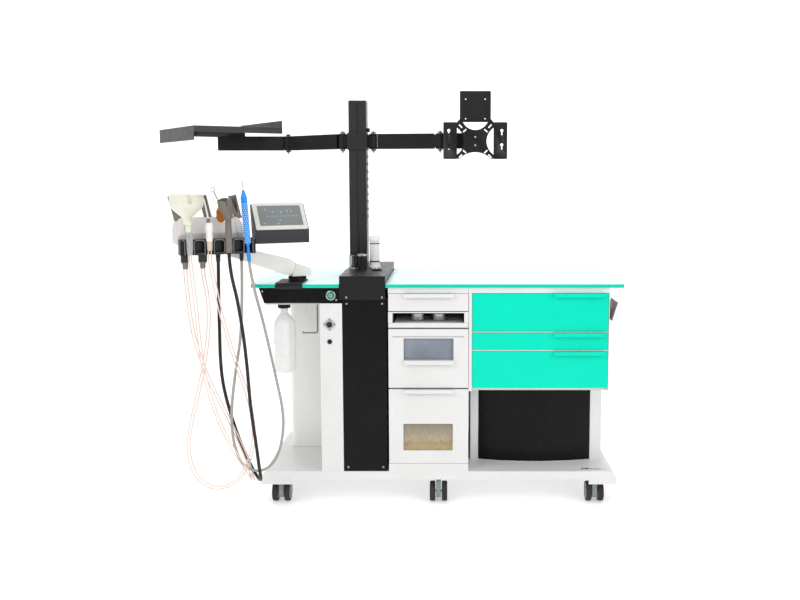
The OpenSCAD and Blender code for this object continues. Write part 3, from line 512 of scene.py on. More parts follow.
# Routes in the head's frame, as in the part: along the rack, away from the front, up
ROUTES = {
    "funnel": [
        (19, 28, 920), (19, 28, 890), (24, 25, 820), (31, 18, 740), (41, 8, 670),
        (62, 0, 590), (90, -3, 510), (125, -5, 430), (162, -5, 345), (200, -5, 250),
        (218, -6, 195), (224, -14, 162), (224, -36, 152), (216, -58, 163), (198, -66, 196),
        (155, -65, 270), (110, -65, 370), (75, -65, 480), (52, -65, 590), (43, -60, 690),
        (39, -42, 790), (35, -12, 890), (32, 3, 945), (32, 5, 972)],
    "syringe": [
        (79, 28, 920), (80, 24, 890), (85, 0, 840), (85, -25, 760), (75, -38, 670),
        (60, -42, 590), (35, -42, 480), (10, -42, 380), (0, -42, 290), (20, -42, 205),
        (65, -42, 155), (110, -42, 142), (155, -42, 155), (200, -43, 205), (225, -45, 290),
        (225, -45, 380), (205, -45, 480), (170, -45, 590), (140, -45, 700), (122, -35, 780),
        (108, -12, 880), (100, 3, 945), (100, 5, 983)],
    "spray": [
        (133, 28, 969), (133, 28, 920), (131, 26, 820), (130, 22, 700), (130, 18, 590),
        (137, 15, 500), (158, 15, 400), (192, 17, 285), (220, 18, 212), (236, 8, 173),
        (245, -19, 153), (246, -53, 153), (241, -80, 173), (234, -90, 212), (226, -88, 290),
        (210, -85, 430), (200, -85, 580), (190, -78, 700), (180, -48, 810), (172, -15, 880),
        (168, 2, 935), (167, 5, 974)],
    "probe": [
        (216, 28, 969), (216, 28, 920), (212, 15, 850), (203, -10, 760), (192, -22, 660),
        (172, -22, 540), (157, -22, 420), (158, -22, 320), (175, -22, 245), (205, -22, 198),
        (246, -22, 177), (290, -22, 188), (325, -22, 238), (342, -22, 320), (340, -22, 400),
        (322, -22, 500), (298, -22, 620), (275, -20, 730), (255, -10, 820), (242, 2, 900),
        (238, 5, 939)],
}


def hose(name, points, d, finish_name, node):
    """A hanging hose: a round curve along its route."""
    path = [HEAD @ q for q in spline(points)]
    data = bpy.data.curves.new(name, "CURVE")
    data.dimensions = "3D"
    data.bevel_depth = d / 2 * MM
    data.bevel_resolution = 4
    data.use_fill_caps = True
    line = data.splines.new("POLY")
    line.points.add(len(path) - 1)
    for point, place in zip(line.points, path):
        point.co = (*place, 1)
    line.use_smooth = True
    data.materials.append(F[finish_name])
    obj = put(name, data)
    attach(obj, "head")
    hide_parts(node)


TWIN = 5                            # half the spacing of the twin tubes


def add_hoses():
    for name, side in (("left", -1), ("right", 1)):
        moved = [(x + side * TWIN, y, z) for x, y, z in ROUTES["funnel"]]
        hose(f"funnel_tube_{name}", moved, 4.6, "pink_tube", "hose_funnel")
        hose(f"syringe_tube_{name}", beside(ROUTES["syringe"], side * TWIN), 4.6, "pink_tube", "hose_syringe")
    hose("spray_hose", ROUTES["spray"], 12, "black_hose", "hose_spray")
    hose("probe_hose", ROUTES["probe"], 10, "grey_hose", "hose_probe")


add_camera()
add_hoses()


# ---------- base and castors ----------

CASTORS = [(-646, 80), (-44, 80), (554, 80), (-646, 460), (554, 460)]
TRAIL, WHEEL_R = 25, 37.5


def add_castor(k, x, y):
    """Twin wheels with a ribbed tread and a recessed hub, and the grey body between them."""
    wheels = Form()
    for side in (-1, 1):
        mid = side * 23
        wheels.material(0).lathe(soft([(28, -10.5), (WHEEL_R, -10.5), (WHEEL_R, 10.5), (28, 10.5)], 4.5),
                                 (mid, 0, 0), "x", 56, closed=True)
        hub = [(0, 6.5), (7, 6.5), (7.5, 8.2), (9.5, 8.2), (10.5, 5), (20, 4), (22, 8), (27, 9), (29.5, 9.2)]
        face = [(r, side * h) for r, h in hub]
        wheels.material(1).lathe(face + [(29.5, -side * 9), (0, -side * 9)], (mid, 0, 0), "x", 48)
    wheels.material(2).rod((-13.5, 0, 0), 8, 27, "x")
    wheels.rod((-33, 0, 0), 9, 3, "x").rod((30, 0, 0), 9, 3, "x")
    piece(f"castor_wheel_pair_{k}", wheels, f"wheels_{k}", "tread castor_grey zinc",
          DATUM @ shift(x, y - TRAIL, WHEEL_R), stands_for=f"castor_wheels_{k}")
    body = [(13, 93), (12, 66)] + arc(-TRAIL, WHEEL_R, 25, 40, -190, 24) + [(-44, 66), (-34, 84), (-18, 93)]
    fork = Form().prism(body, -9.5, 9.5, "x")
    fork.prism(soft([(-46, 60), (-40, 78), (-26, 88), (-24, 84), (-36, 74), (-42, 58)], 1), -7, 7, "x")
    fork.material(1).rod((0, 0, 93.5), 44, 6).rod((0, 0, 92), 30, 2).rod((0, 0, 99), 12, 23)
    piece(f"castor_body_{k}", fork, f"castor_{k}", "castor_grey zinc", DATUM @ shift(x, y, 0),
          bevel=1.2, stands_for=f"castor_fork_{k}")


def add_base():
    dress("base_frame", "white_lacquer", 2.5)
    for k, (x, y) in enumerate(CASTORS, 1):
        add_castor(k, x, y)
        plate = Form().slab(x - 28, y - 28, x + 28, y + 28, 6, 97.4, 99.8)
        for dx in (-21, 21):
            for dy in (-21, 21):
                plate.rod((x + dx, y + dy, 95.6), 8, 2)
        hole = Form().rod((x, y, 94), 46, 8)
        piece(f"castor_plate_{k}", plate, "frame", "zinc", bevel=0.4, cut=hole)
    strip = Form().slab(500, 22, 593, 34, 3, 132, 133.4)
    strip.material(1).rod((512, 28, 133.2), 8, 0.9)
    piece("base_strip", strip, "frame", "steel blue", bevel=0.3)


# ---------- cabinets and drawers ----------

def screws(form, places, axis="y", d=8.0, stand=1.8, head=1):
    """Domed cross-head screws; head turns the dome towards or away from the axis."""
    for at in places:
        profile = [(0, stand), (d * 0.25, stand * 0.95), (d * 0.42, stand * 0.6), (d / 2, 0), (0, 0)]
        form.lathe([(r, head * h) for r, h in profile], at, axis, 20)
    return form


def crosses(form, places, d=8.0, stand=1.8):
    """Dark cross slots of screws that face the front."""
    tip, w = d * 0.3, d * 0.08
    plus = [(w, w), (w, tip), (-w, tip), (-w, w), (-tip, w), (-tip, -w),
            (-w, -w), (-w, -tip), (w, -tip), (w, -w), (tip, -w), (tip, w)]
    for x, y, z in places:
        form.prism([(x + u, z + v) for u, v in plus], y - stand - 0.1, y - stand + 0.6, "y")
    return form


def slide_rails(body, name, inner, box, z):
    """Telescopic rails on both sides of a drawer: one half on the cabinet, one on the drawer."""
    fixed, moving = Form(), Form()
    for wall, side in ((inner[0], box[0]), (inner[1], box[1])):
        way = 1 if side > wall else -1
        split = side - way * 4
        fixed.box((min(wall, split), 30, z - 9), (max(wall, split), 478, z + 9))
        a, b = sorted((split + way * 0.3, side + way * 0.05))
        moving.box((a, 22, z - 6), (b, 440, z + 6))
    piece(name + "_rails", fixed, "frame", "zinc", bevel=1)
    piece(name + "_runners", moving, body, "zinc", bevel=0.8)


FRONT_T = 18


def front_or_box(middle, normal):
    return 1 if middle.y > FRONT_T + 0.5 else 0


def bottom_drawer_faces(middle, normal):
    if 9.8 < middle.y < 13.2 and 200 < middle.z < 330 and -181 < middle.x < 16:
        return 2
    return front_or_box(middle, normal)


def add_cabinets():
    dress("carcass_left", "white_lacquer", 0.9)
    dress("carcass_right", "white_lacquer", 0.9)
    dress("bay_panel", "black_gloss", 0.8)
    for name, x0, x1, z0, z1 in (("left", -218, 57, 150, 815), ("right", 84, 579, 455, 815)):
        back = Form().slab(x0, z0, x1, z1, 4, 530, 531.2, "y")
        xs = [x0 + 10, (x0 + x1) / 2, x1 - 10]
        places = [(x, 531, z) for x in xs for z in (z0 + 10, z1 - 10)]
        back.material(1)
        screws(back, places)
        piece(f"back_sheet_{name}", back, "frame", "white_powder zinc", bevel=0.3)
        louvres = Form()
        for row in range(6):
            z = z1 - 60 - row * 14
            for x in (x0 + 50, x1 - 110):
                hood = soft([(531, z), (533.6, z + 1), (534, z + 3), (531, z + 7)], 1)
                louvres.prism(hood, x, x + 60, "x")
        piece(f"louvres_{name}", louvres, "frame", "white_powder", bevel=0.4)


def add_drawers():
    for node in ("top_drawer", "mid_drawer"):
        dress(node, "white_lacquer drawer_box", 1.1, pick=front_or_box)
    dress("bottom_drawer", "white_lacquer drawer_box bristles", 1.1, pick=bottom_drawer_faces)
    dress("drop_flap", "pane", 0.5)
    for i in (1, 2, 3):
        dress(f"green_drawer_{i}", "teal_lacquer drawer_box", 1.3, pick=front_or_box)
    left, right = ((-218, 57), (-208, 47)), ((83, 581), (104, 568))
    for name, sides, z in (("top_drawer", left, 770), ("mid_drawer", left, 500), ("bottom_drawer", left, 260),
                           ("green_drawer_1", right, 710), ("green_drawer_2", right, 628),
                           ("green_drawer_3", right, 500)):
        slide_rails(name, name, sides[0], sides[1], z)
    tray = Form().slab(-229.5, 682, 68.5, 699, 1.5, 0, FRONT_T, "y")
    tray.box((-208, 17.5, 690), (47, 398, 696))
    piece("niche_shelf", tray, "niche_tray", "white_lacquer", bevel=0.8, stands_for="niche_tray")
    bowls = Form()
    for x in (-122, -41):
        outer = [(0, 0), (20, 0), (25, 3), (27, 10), (27, 28.6), (28.2, 29.4), (28.2, 30)]
        inner = [(26.2, 30), (25.4, 28), (25.2, 9), (19, 2.5), (0, 2)]
        bowls.lathe(outer + inner, (x, 80, 696), steps=56)
    piece("niche_bowls", bowls, "niche_tray", "steel", smooth=50)
    lip = Form().slab(-171, 553, 15, 559, 1.4, -15, 1, "y")
    piece("flap_lip", lip, "mid_drawer", "white_lacquer", bevel=0.6)
    bristles = Form()
    for i in range(150):
        x = -172 + 179 * (i + random.random() * 0.6) / 150
        tall = 22 + 12 * random.random() + 20 * max(0, math.sin(i * 0.9)) * random.random()
        bristles.tube([(x, 8.5, 213), (x + random.uniform(-1.5, 1.5), 8, 213 + tall)], 0.9, 5)
    piece("brush_bristles", bristles, "bottom_drawer", "bristles")
    frame_line = Form().slab(-178, 210, 13, 318, 7, 0.6, 1.2, "y")
    hole = Form().slab(-175.6, 212.4, 10.6, 315.6, 6, -3, 4, "y")
    piece("window_trim", frame_line, "bottom_drawer", "white_powder", cut=hole)


# ---------- worktop, covers and fittings ----------

def glass_faces(middle, normal):
    return 0 if abs(normal.z) > 0.7 else 1


BUTTON = (-442, 803)
BOTTLE = (-634, 100)
SOCKET = (-448, 694)
QUIVER = (-389, 281)
TALL_CUP = (-302, 290)


def add_worktop():
    for side in ("left", "right"):
        dress(f"worktop_{side}", "glass_face glass_edge", 1.6, pick=glass_faces)
    dress("front_fascia", "black_gloss", 1.2)
    dress("column_cover", "black_gloss", 1.4)
    dress("service_box", "white_powder", 1.4)
    dress("cover_hood", "black_plastic", 1.6)
    dress("pump_cover", "white_plastic", 2)


def add_button():
    """Round power button with its ring, and the usual ring-and-bar symbol."""
    x, z = BUTTON
    dome = [(0, -5.4), (6, -5.5), (9.6, -5), (11.4, -4), (12, -2.6), (12, 6), (0, 6)]
    cap = Form().lathe(dome, (x, 0, z), "y")
    sign = [(u, -5.7, v) for u, v in arc(x, z, 5.2, 125, 415, 24)]
    cap.material(1).tube(sign, 1.1, 6).tube([(x, -5.7, z + 1), (x, -5.7, z + 7)], 1.1, 6)
    piece("power_button_cap", cap, "power_button", "button_green white_plastic",
          stands_for="power_button")
    ring = Form().lathe(soft([(12.6, -3.3), (15, -5.5), (18.2, -3.4), (18.2, -2.8), (12.6, -2.8)], 0.8),
                        (x, 0, z), "y", 48, closed=True)
    piece("button_ring", ring, "frame", "zinc")


def add_bottle():
    """Translucent bottle with five lobes and a grip waist, under a ribbed cap."""
    foot, shoulder = 496, 704
    outline = [(0, 492), (22, 492.6), (33, 495), (38, 501), (40, 512), (40.3, 540), (40.3, 560),
               (38.4, 568), (40.3, 576), (40.6, 620), (40.6, 668), (39.5, 682), (36, 694), (29, 705),
               (21, 714), (15.5, 722), (14.6, 728), (14.6, 741)]

    def lobes(angle, z):
        fade = max(0.0, min(1.0, (z - foot) / 16, (shoulder - z) / 22))
        return 2.2 * fade * (abs(math.cos(2.5 * angle)) * 2 - 1.2)

    where = DATUM @ shift(*BOTTLE, 0)
    bottle = Form().lathe(soft_line(outline, 6, steps=3), steps=90, swell=lobes)
    piece("water_bottle", bottle, "bottle", "milk_bottle", where, smooth=60, stands_for="bottle")
    cap = Form()
    for at in circle(0, 0, 23, 36):
        cap.tube([(*at, 743), (*at, 762)], 1.4, 6)
    piece("cap_ribs", cap, "frame", "black_plastic", where)


def add_fittings():
    """Inlet socket, fuse cap, hook and side handle."""
    x, z = SOCKET
    tilt = DATUM @ shift(x, 0, z) @ turn(45, "Y")
    plate = Form().slab(-17, -17, 17, 17, 3, -3, 0, "y")
    piece("socket_plate", plate, "frame", "zinc", tilt, bevel=0.4, stands_for="wall_fittings")
    rim = soft([(11, -2.5), (11, -7), (15.5, -7), (15.5, -2.5)], 1)
    ring = Form().lathe(rim, (x, 0, z), "y", 48, closed=True)
    ring.material(1).rod((x, -3.6, z), 22, 2, "y")
    ring.material(2)
    for u, v in circle(x, z, 5.5, 3, 90):
        ring.rod((u, -6, v), 3.4, 3, "y")
    screws(ring, [(u, -2.8, v) for u, v in circle(x, z, 19.4, 4)], d=5, stand=1.2, head=-1)
    piece("inlet_socket", ring, "frame", "steel black_plastic bronze")
    knob = [(0, -5), (6.5, -5), (7.6, -4.4), (8, -3), (9, -2), (9, 0), (0, 0)]
    fuse = Form().lathe(knob, (-448, 0, 629), "y")
    slot_cut = Form().box((-454, -6, 628), (-442, -4, 630))
    piece("fuse_cap", fuse, "frame", "black_plastic", cut=slot_cut)
    hook = bent([(-501, 60, 766), (-501, 60, 652), (-540, 60, 652), (-556, 60, 652), (-558, 60, 657)], 10)
    piece("instrument_hook", Form().tube(hook, 5.6, 14), "frame", "dark_steel", smooth=60)
    handle = Form().slab(0, 0, 5, 130, 2.2, 0, 73)
    piece("side_handle", handle, "frame", "rim_grey", DATUM @ shift(603, 25, 704) @ turn(17, "Y"), bevel=1.2)
    posts = Form().rod((593, 67, 717), 11, 13, "x").rod((593, 117, 717), 11, 13, "x")
    piece("handle_posts", posts, "frame", "zinc")


def add_fasteners():
    """Cover screws, and the hexagon-socket bolts up the side of the column."""
    plain = [(-696, 0, 818), (-422, 0, 786)]
    plain += [(x, 0, z) for x in (-384, -252) for z in (148, 772)]
    small = [(x, -6, 796) for x in (-384, -252)]
    heads = screws(Form(), plain + small, head=-1)
    crosses(heads.material(1), plain + small)
    piece("cover_screws", heads, "frame", "steel black_plastic", stands_for="fasteners")
    bolts, sockets = Form(), Form()
    for z in range(1080, 1321, 30):
        bolts.rod((-334, 355, z), 10, 5, "x")
        sockets.prism(circle(355, z, 2.9, 6), -331.5, -328, "x")
    piece("column_bolts", bolts, "frame", "steel", cut=sockets)
    knob = Form().lathe([(0, 0), (8, 0), (8, 10.4), (7, 12), (0, 12)], (-334, 345, 1425), "x", 40)
    for at in circle(345, 1425, 7.7, 14):
        knob.tube([(-332, *at), (-324, *at)], 1.2, 6)
    piece("clamp_knob", knob, "frame", "black_plastic")


def add_cups():
    """Short fixed cup, lift-out quiver and tall cup, with their rims and rings."""
    rims = Form()
    for (x, y), r in ((QUIVER, 17.5), (TALL_CUP, 22.5)):
        rims.lathe(soft([(r - 2.2, 874.6), (r - 2.2, 877), (r + 1.5, 877), (r + 2.2, 874.6)], 0.7),
                   (x, y, 0), closed=True)
    mouth = soft([(15.6, 931), (15.6, 934), (19, 934), (19, 926), (18.2, 926)], 0.7)
    rims.lathe(mouth, (-349, 262, 0), closed=True)
    piece("cup_rims", rims, "frame", "steel")
    quiver = [(0, 834), (14, 834), (15, 835), (15, 922), (16.2, 924), (16.2, 927), (13.8, 927), (13.5, 836),
              (0, 836)]
    piece("quiver_tube", Form().lathe(quiver, (*QUIVER, 0)), "steel_quiver", "steel",
          stands_for="steel_quiver")
    outer = [(0, 834), (19.2, 834), (20, 835), (20, 876), (24, 877), (24, 884), (20, 885), (20, 983),
             (22, 985), (22, 1002), (21.4, 1003)]
    cup = Form().lathe(outer + [(17.8, 1003), (17.5, 838), (0, 837)], (*TALL_CUP, 0), steps=48).material(1)
    for low, high in ((900, 905), (972, 976)):
        band = soft([(19.9, low), (20.5, low), (20.5, high), (19.9, high)], 0.2)
        cup.lathe(band, (*TALL_CUP, 0), closed=True)
    piece("tall_cup_shell", cup, "tall_cup", "white_plastic black_plastic", stands_for="tall_cup")


add_base()
add_cabinets()
add_drawers()
add_worktop()
add_button()
add_bottle()
add_fittings()
add_fasteners()
add_cups()


# ---------- column and monitor arms ----------

PIVOTS = {"left_link_1": (-432, 352), "left_link_2": (-695, 600), "side_tray": (-978, 600),
          "right_link_1": (-308, 352), "right_link_2": (-39, 300), "tilt_head": (98, 262)}
ARM_Z, LINK_H = 1350, 60            # underside and height of the arm links


def post_faces(middle, normal):
    return 1 if middle.z > 1540 else 0


def add_column():
    dress("column_post", "anodised cream", 1.2, pick=post_faces)
    dress("arm_collar", "black_powder", 1.4)
    for node in ("left_link_1", "left_link_2", "right_link_1", "right_link_2", "tilt_head"):
        dress(node, "black_powder", 1.1)
    dress("side_tray", "grey_powder", 0.8)
    dress("monitor_plate", "black_powder", 0.5)
    for body, (x, y) in PIVOTS.items():
        if body == "side_tray":
            continue
        bolt = Form()
        for z, up in ((ARM_Z, -1), (ARM_Z + LINK_H, 1)):
            bolt.lathe([(0, 0), (11.6, 0), (11.6, up * 1.2), (11, up * 1.5), (0, up * 1.5)], (x, y, z))
        bolt.rod((x, y, ARM_Z - 15), 8.6, 8).rod((x, y, ARM_Z + 67), 8.6, 5)
        for z, up in ((ARM_Z, -1), (ARM_Z + LINK_H, 1)):
            hexagon = [(0, 8.4), (8.2, 8.4), (9.2, 7), (9.2, 1.6), (0, 1.6)]
            bolt.lathe([(r, up * h) for r, h in hexagon], (x, y, z), steps=6)
        piece(f"{body}_bolt", bolt, body, "zinc", bevel=0.3)
    for body, next_body in (("left_link_1", "left_link_2"), ("right_link_1", "right_link_2"),
                            ("right_link_2", "tilt_head")):
        x, y = PIVOTS[next_body]
        ring = Form().lathe([(15.2, ARM_Z + 5), (19.4, ARM_Z + 5), (19.4, ARM_Z + 55), (15.2, ARM_Z + 55)],
                            (x, y, 0), closed=True)
        piece(f"{body}_sleeve", ring, body, "black_plastic")
    rivets = screws(Form(), [(98, 218, 1393), (98, 218, 1361)], d=8, stand=1.2, head=-1)
    piece("plate_rivets", rivets, "monitor_plate", "zinc")
    x, y = PIVOTS["side_tray"]
    nut = Form().rod((x, y, 1411), 30, 5)
    nut.lathe([(0, 1416), (11, 1416), (12, 1417), (12, 1424), (0, 1424)], (x, y, 0), steps=6)
    piece("tray_nut", nut, "side_tray", "zinc", bevel=0.3)


# ---------- instrument arm ----------

def add_arm():
    dress("arm_base", "black_powder", 1.2)
    disc = Form().lathe([(32, 852), (33.4, 853), (33.4, 858), (32, 859)], ARM_AT, steps=64)
    for at in circle(ARM_AT[0], ARM_AT[1], 32.6, 48):
        disc.tube([(*at, 852), (*at, 866)], 1.6, 6)
    piece("base_knurl", disc, "frame", "black_plastic")
    dress("arm_hub", "cream", 2.5)
    dress("balance_arm", "cream", 5)
    dress("arm_knuckle", "mid_grey", 1)
    caps = Form()
    for side in (-1, 1):
        for (x, z), r in (((45, 906), 9), ((255, 975), 8)):
            caps.lathe([(0, side * 2), (r * 0.7, side * 1.8), (r, side * 0.4), (r, -side), (0, -side)],
                       (x, side * 24, z), "y", 40)
    piece("pivot_caps", caps, "balance_arm", "cream", ARM)


# ---------- instrument head ----------

FLASK = (157, 89, 1069)             # foot of the amber bottle, in the sloping face of the housing
SEAMS, HOLDERS = (26.4, 31, 208), (14, 121, 228)


def add_housing():
    """Pale housing behind the rack, pillowed at both ends, with its seams and three open holders."""
    side = soft([(50, 1003), (160, 1003), (160, 1096), (88, 1096), (50, 1042)], 12)
    rings, long = [], 237
    steps = [0, 1, 3, 6, 10, 15, 21, 28]
    for x in [-2 + d for d in steps] + [long - d for d in reversed(steps)]:
        inset = min(x + 2, long - x)
        swell = math.sqrt(max(0.0, 1 - (1 - min(1, inset / 28)) ** 2))
        tall, deep = 0.58 + 0.42 * swell, 0.90 + 0.10 * swell
        rings.append([(x, 105 + (y - 105) * deep, 1003 + (z - 1003) * tall) for y, z in side])
    cavity = Form().rod((188, 105, 1000), 36.4, 22).rod(FLASK, 28.4, 60)
    on_head("housing_shell", Form().loft(rings), "housing", bevel=0.6, smooth=50, cut=cavity,
          stands_for="head_housing")
    seams = Form()
    for x in SEAMS:
        around = [(105 + (y - 105) * 1.006, 1003.3 + (z - 1003) * 1.004) for y, z in side]
        seams.prism(around, x, x + 0.9, "x")
    on_head("housing_seams", seams, "mid_grey")
    for k, x in enumerate(HOLDERS, 1):
        cup = Form()
        outer = [(0, 0), (14, 0), (15, 1), (15, 6), (14.2, 8), (13.6, 12), (14.4, 60), (15, 84), (14.6, 88)]
        cup.lathe(outer + [(12.8, 88), (12.6, 84), (11.6, 14), (0, 13)], steps=48)
        notch = [(-1.5, 22), (1.5, 22), (7, 60), (11.5, 100), (-11.5, 100), (-7, 60)]
        lean = HEAD @ shift(x, 120, 1088) @ turn(-12, "Y") @ turn(-8, "X")
        on_head(f"slanted_holder_{k}", cup, "warm_grey", lean, bevel=0.6,
                cut=Form().prism(notch, -22, 0, "y"))


RACK_W = 262


def add_rack():
    """Black rack with four open slots, wide pockets under grey arched rims, and the hose connectors."""
    outline = [(0, 4)] + arc(4, 4, 4, 180, 270, 3)
    for x in HAND_X:
        outline += [(x - 15, 0), (x - 15, HAND_Y)] + arc(x, HAND_Y, 15, 180, 0, 12)[1:-1] \
            + [(x + 15, HAND_Y), (x + 15, 0)]
    outline += arc(RACK_W - 4, 4, 4, 270, 360, 3) + [(RACK_W, 50), (0, 50)]
    body = Form().prism(outline, 969, 1023)
    pockets, liners, rims, lips = Form(), Form(), Form(), Form()
    for x in (65, 133, 201):
        mouth = soft([(x - 15, 978.5), (x + 15, 978.5), (x + 16.4, 1017), (x - 16.4, 1017)], 5)
        pockets.prism(mouth, -5, 27, "y")
        liners.prism([(x + (u - x) * 0.98, v) for u, v in mouth], 24, 26.5, "y")
        arch = [(x + u, -0.2, z) for u, z in ((-18.4, 970), (-18.4, 1021.5), (18.4, 1021.5), (18.4, 970))]
        rims.tube(bent(arch, 12, 8), 2.6, 10)
        lips.slab(x - 16.8, 970, x + 16.8, 977.5, 2, -1.4, 2, "y")
    for x, way in ((14.6, -1), (RACK_W - 10.6, 1)):
        arch = [(x, -0.2, 970), (x, -0.2, 1021.5), (x + way * 9, -0.2, 1021.5), (x + way * 9, 12, 1021.5)]
        rims.tube(bent(arch, 7, 8), 2.6, 10)
    on_head("rack_body", body, "black_plastic", bevel=1, cut=pockets, stands_for="head_rack")
    on_head("pocket_liners", liners, "dark_plastic")
    on_head("pocket_lips", lips, "dark_plastic", bevel=0.5)
    on_head("rack_rims", rims, "rim_grey", smooth=60)
    ports = Form()
    for x in (19, 79):
        ports.material(0).slab(x - 14, 16, x + 14, 40, 4, 944, 969)
        ports.material(1).lathe([(0, 944), (13, 944), (13, 940), (11, 938), (9.4, 937), (9, 922), (8, 920),
                                 (0, 920)], (x, 28, 0), steps=36)
        for z in (926, 930, 934):
            ports.lathe([(8.8, z - 1), (9.9, z - 0.4), (9.9, z + 0.4), (8.8, z + 1)], (x, 28, 0), steps=32)
    ports.material(0)
    for x, r in ((133, 8.2), (216, 7.2)):
        profile = [(r - 1.6, 941)]
        for k in range(7):
            z = 942 + 4 * k
            grow = r * (0.84 + 0.025 * k)
            profile += [(grow, z), (grow + 0.9, z + 1), (grow + 0.9, z + 2.4), (grow, z + 3.2)]
        ports.lathe(profile + [(r, 969.5), (0, 969.5)], (x, 28, 0), steps=32)
    on_head("hose_ports", ports, "dark_plastic rim_grey")
    stub = Form().rod((RACK_W - 0.5, 34, 1014), 12, 32, "x")
    on_head("display_stub", stub, "steel")


def add_display():
    """Wedge-shaped display: dark body, cream bezel on the slanted face, grey screen with blank icons."""
    low, high = Vector((8, 1050)), Vector((78, 1143))
    left, right = RACK_W + 2, RACK_W + 200
    body = soft([(8, 1000.5), (8, 1049), (76.5, 1140), (86, 1140), (83, 1124), (58, 1000.5)], 3)
    bore = Form().rod((left - 4, 34, 1014), 12.4, 38, "x")
    piece("display_body", Form().prism(body, left, right, "x"), "display", "dark_plastic", HEAD,
          bevel=1.5, cut=bore, stands_for="touch_display")
    tilt = math.degrees(math.atan2(high.y - low.y, high.x - low.x))
    panel = HEAD @ shift((left + right) / 2, low.x, low.y) @ turn(tilt, "X")
    long, half = (high - low).length, 96
    bezel = Form().slab(-half, 0.5, half, long, 5, -1.5, 2.4)
    glass = rectangle(-half + 17, 17, half - 14, long - 11)
    window = Form().prism(soft(glass, 3), 0.8, 6)
    piece("display_bezel", bezel, "display", "bezel", panel, bevel=0.9, cut=window)
    screen = Form().prism(soft([(0.995 * x, 0.3 + 0.995 * y) for x, y in glass], 2.6), 0, 1.3)
    piece("display_screen", screen, "display", "screen", panel, bevel=0.2)
    icons = Form()
    for x, y in ((-52, 88), (-24, 78), (30, 80), (6, 76), (-2, 40), (-62, 28), (-10, 26), (46, 80)):
        icons.prism(arc(x, y, 2.8, 0, 330, 11), 1.25, 1.5)
    for x in range(-50, 62, 10):
        icons.slab(x, 58, x + 7, 59.6, 0.7, 1.25, 1.5)
    piece("display_icons", icons, "display", "icon", panel)


def add_funnel():
    """Ear-wash funnel with a flanged rim and a round-bottomed notch, neck, tube and grey handle."""
    outer = [(12.6, 1077), (13.2, 1096), (14.5, 1099), (50, 1131), (55, 1138), (57, 1146), (57.4, 1176),
             (61, 1178), (61.4, 1179.6), (61, 1181), (55.6, 1181)]
    inner = [(54.6, 1179), (54, 1146), (51, 1139), (46, 1133), (10, 1101), (8, 1098), (8, 1077)]
    bowl = Form().lathe(soft_line(outer, 1.2) + soft_line(inner, 1.2), (-6, 0, 0), steps=72,
                        closed=True)
    cut = Form().prism([(-12, 1200)] + arc(-3.5, 1157, 8.5, 180, 360, 10) + [(5, 1200)], -80, -20, "y")
    where = HEAD @ shift(HAND_X[0], HAND_Y, 0)
    on_head("funnel_bowl", bowl, "ivory", where, smooth=50, cut=cut, stands_for="funnel_handpiece")
    neck = [(0, 1088), (12.4, 1088), (13, 1087), (13, 1076), (11.6, 1074), (9.6, 1073), (9.5, 1050),
            (0, 1049)]
    on_head("funnel_neck", Form().lathe(neck, (-1.5, 0, 0)), "ivory", where)
    grip = Form().lathe([(0, 972), (9.4, 972), (10.4, 975), (11.8, 992), (12, 1040), (11.2, 1048),
                         (9.8, 1050), (0, 1050)], (1, 0, 0))
    for z in (1000, 1006, 1012, 1018, 1024):
        grip.lathe([(11.8, z - 1.2), (12.6, z - 0.6), (12.6, z + 0.6), (11.8, z + 1.2)], (1, 0, 0), steps=40)
    wire = [(1, -11.6, 1046), (-6, -13.5, 1040), (-6, -13.5, 1028), (5, -13.5, 1026)]
    on_head("funnel_grip", grip, "pale_grey", where)
    on_head("funnel_clip", Form().tube(bent(wire, 4), 2, 8), "steel", where)


def add_syringe():
    """White syringe with a wider head, a beige foot, a dark collar and a long thin curved cannula."""
    where = HEAD @ shift(HAND_X[1], HAND_Y, 0)
    body = [(0, 1016), (10.8, 1016), (11.6, 1018), (11.6, 1050), (13.4, 1053), (13.4, 1075), (12.2, 1079),
            (9.4, 1082), (0, 1082)]
    on_head("syringe_body", Form().lathe(soft_line(body, 1), (1, 0, 0), steps=44), "white_plastic", where,
            smooth=45, stands_for="syringe_handpiece")
    foot = [(0, 983), (8.2, 983), (8.8, 985), (8.8, 988), (9.6, 989), (10.2, 1016.5), (0, 1016.5)]
    on_head("syringe_foot", Form().lathe(soft_line(foot, 0.6), (1, 0, 0)), "beige", where)
    collar = [(0, 1080), (6.4, 1080), (6.4, 1084), (5.5, 1085), (5.5, 1094), (4.4, 1096), (0, 1096)]
    on_head("syringe_collar", Form().lathe(collar, (-1, 0, 0)), "mid_grey", where)
    pipe = [(-2, 0, 1094), (-4.5, 0, 1112), (-8, 0, 1132), (-12, 0, 1150), (-16, 0, 1166)]
    cannula = Form().tube(spline(pipe, 4), 6.4, 16)
    on_head("syringe_cannula", cannula, "white_plastic", where, smooth=60)


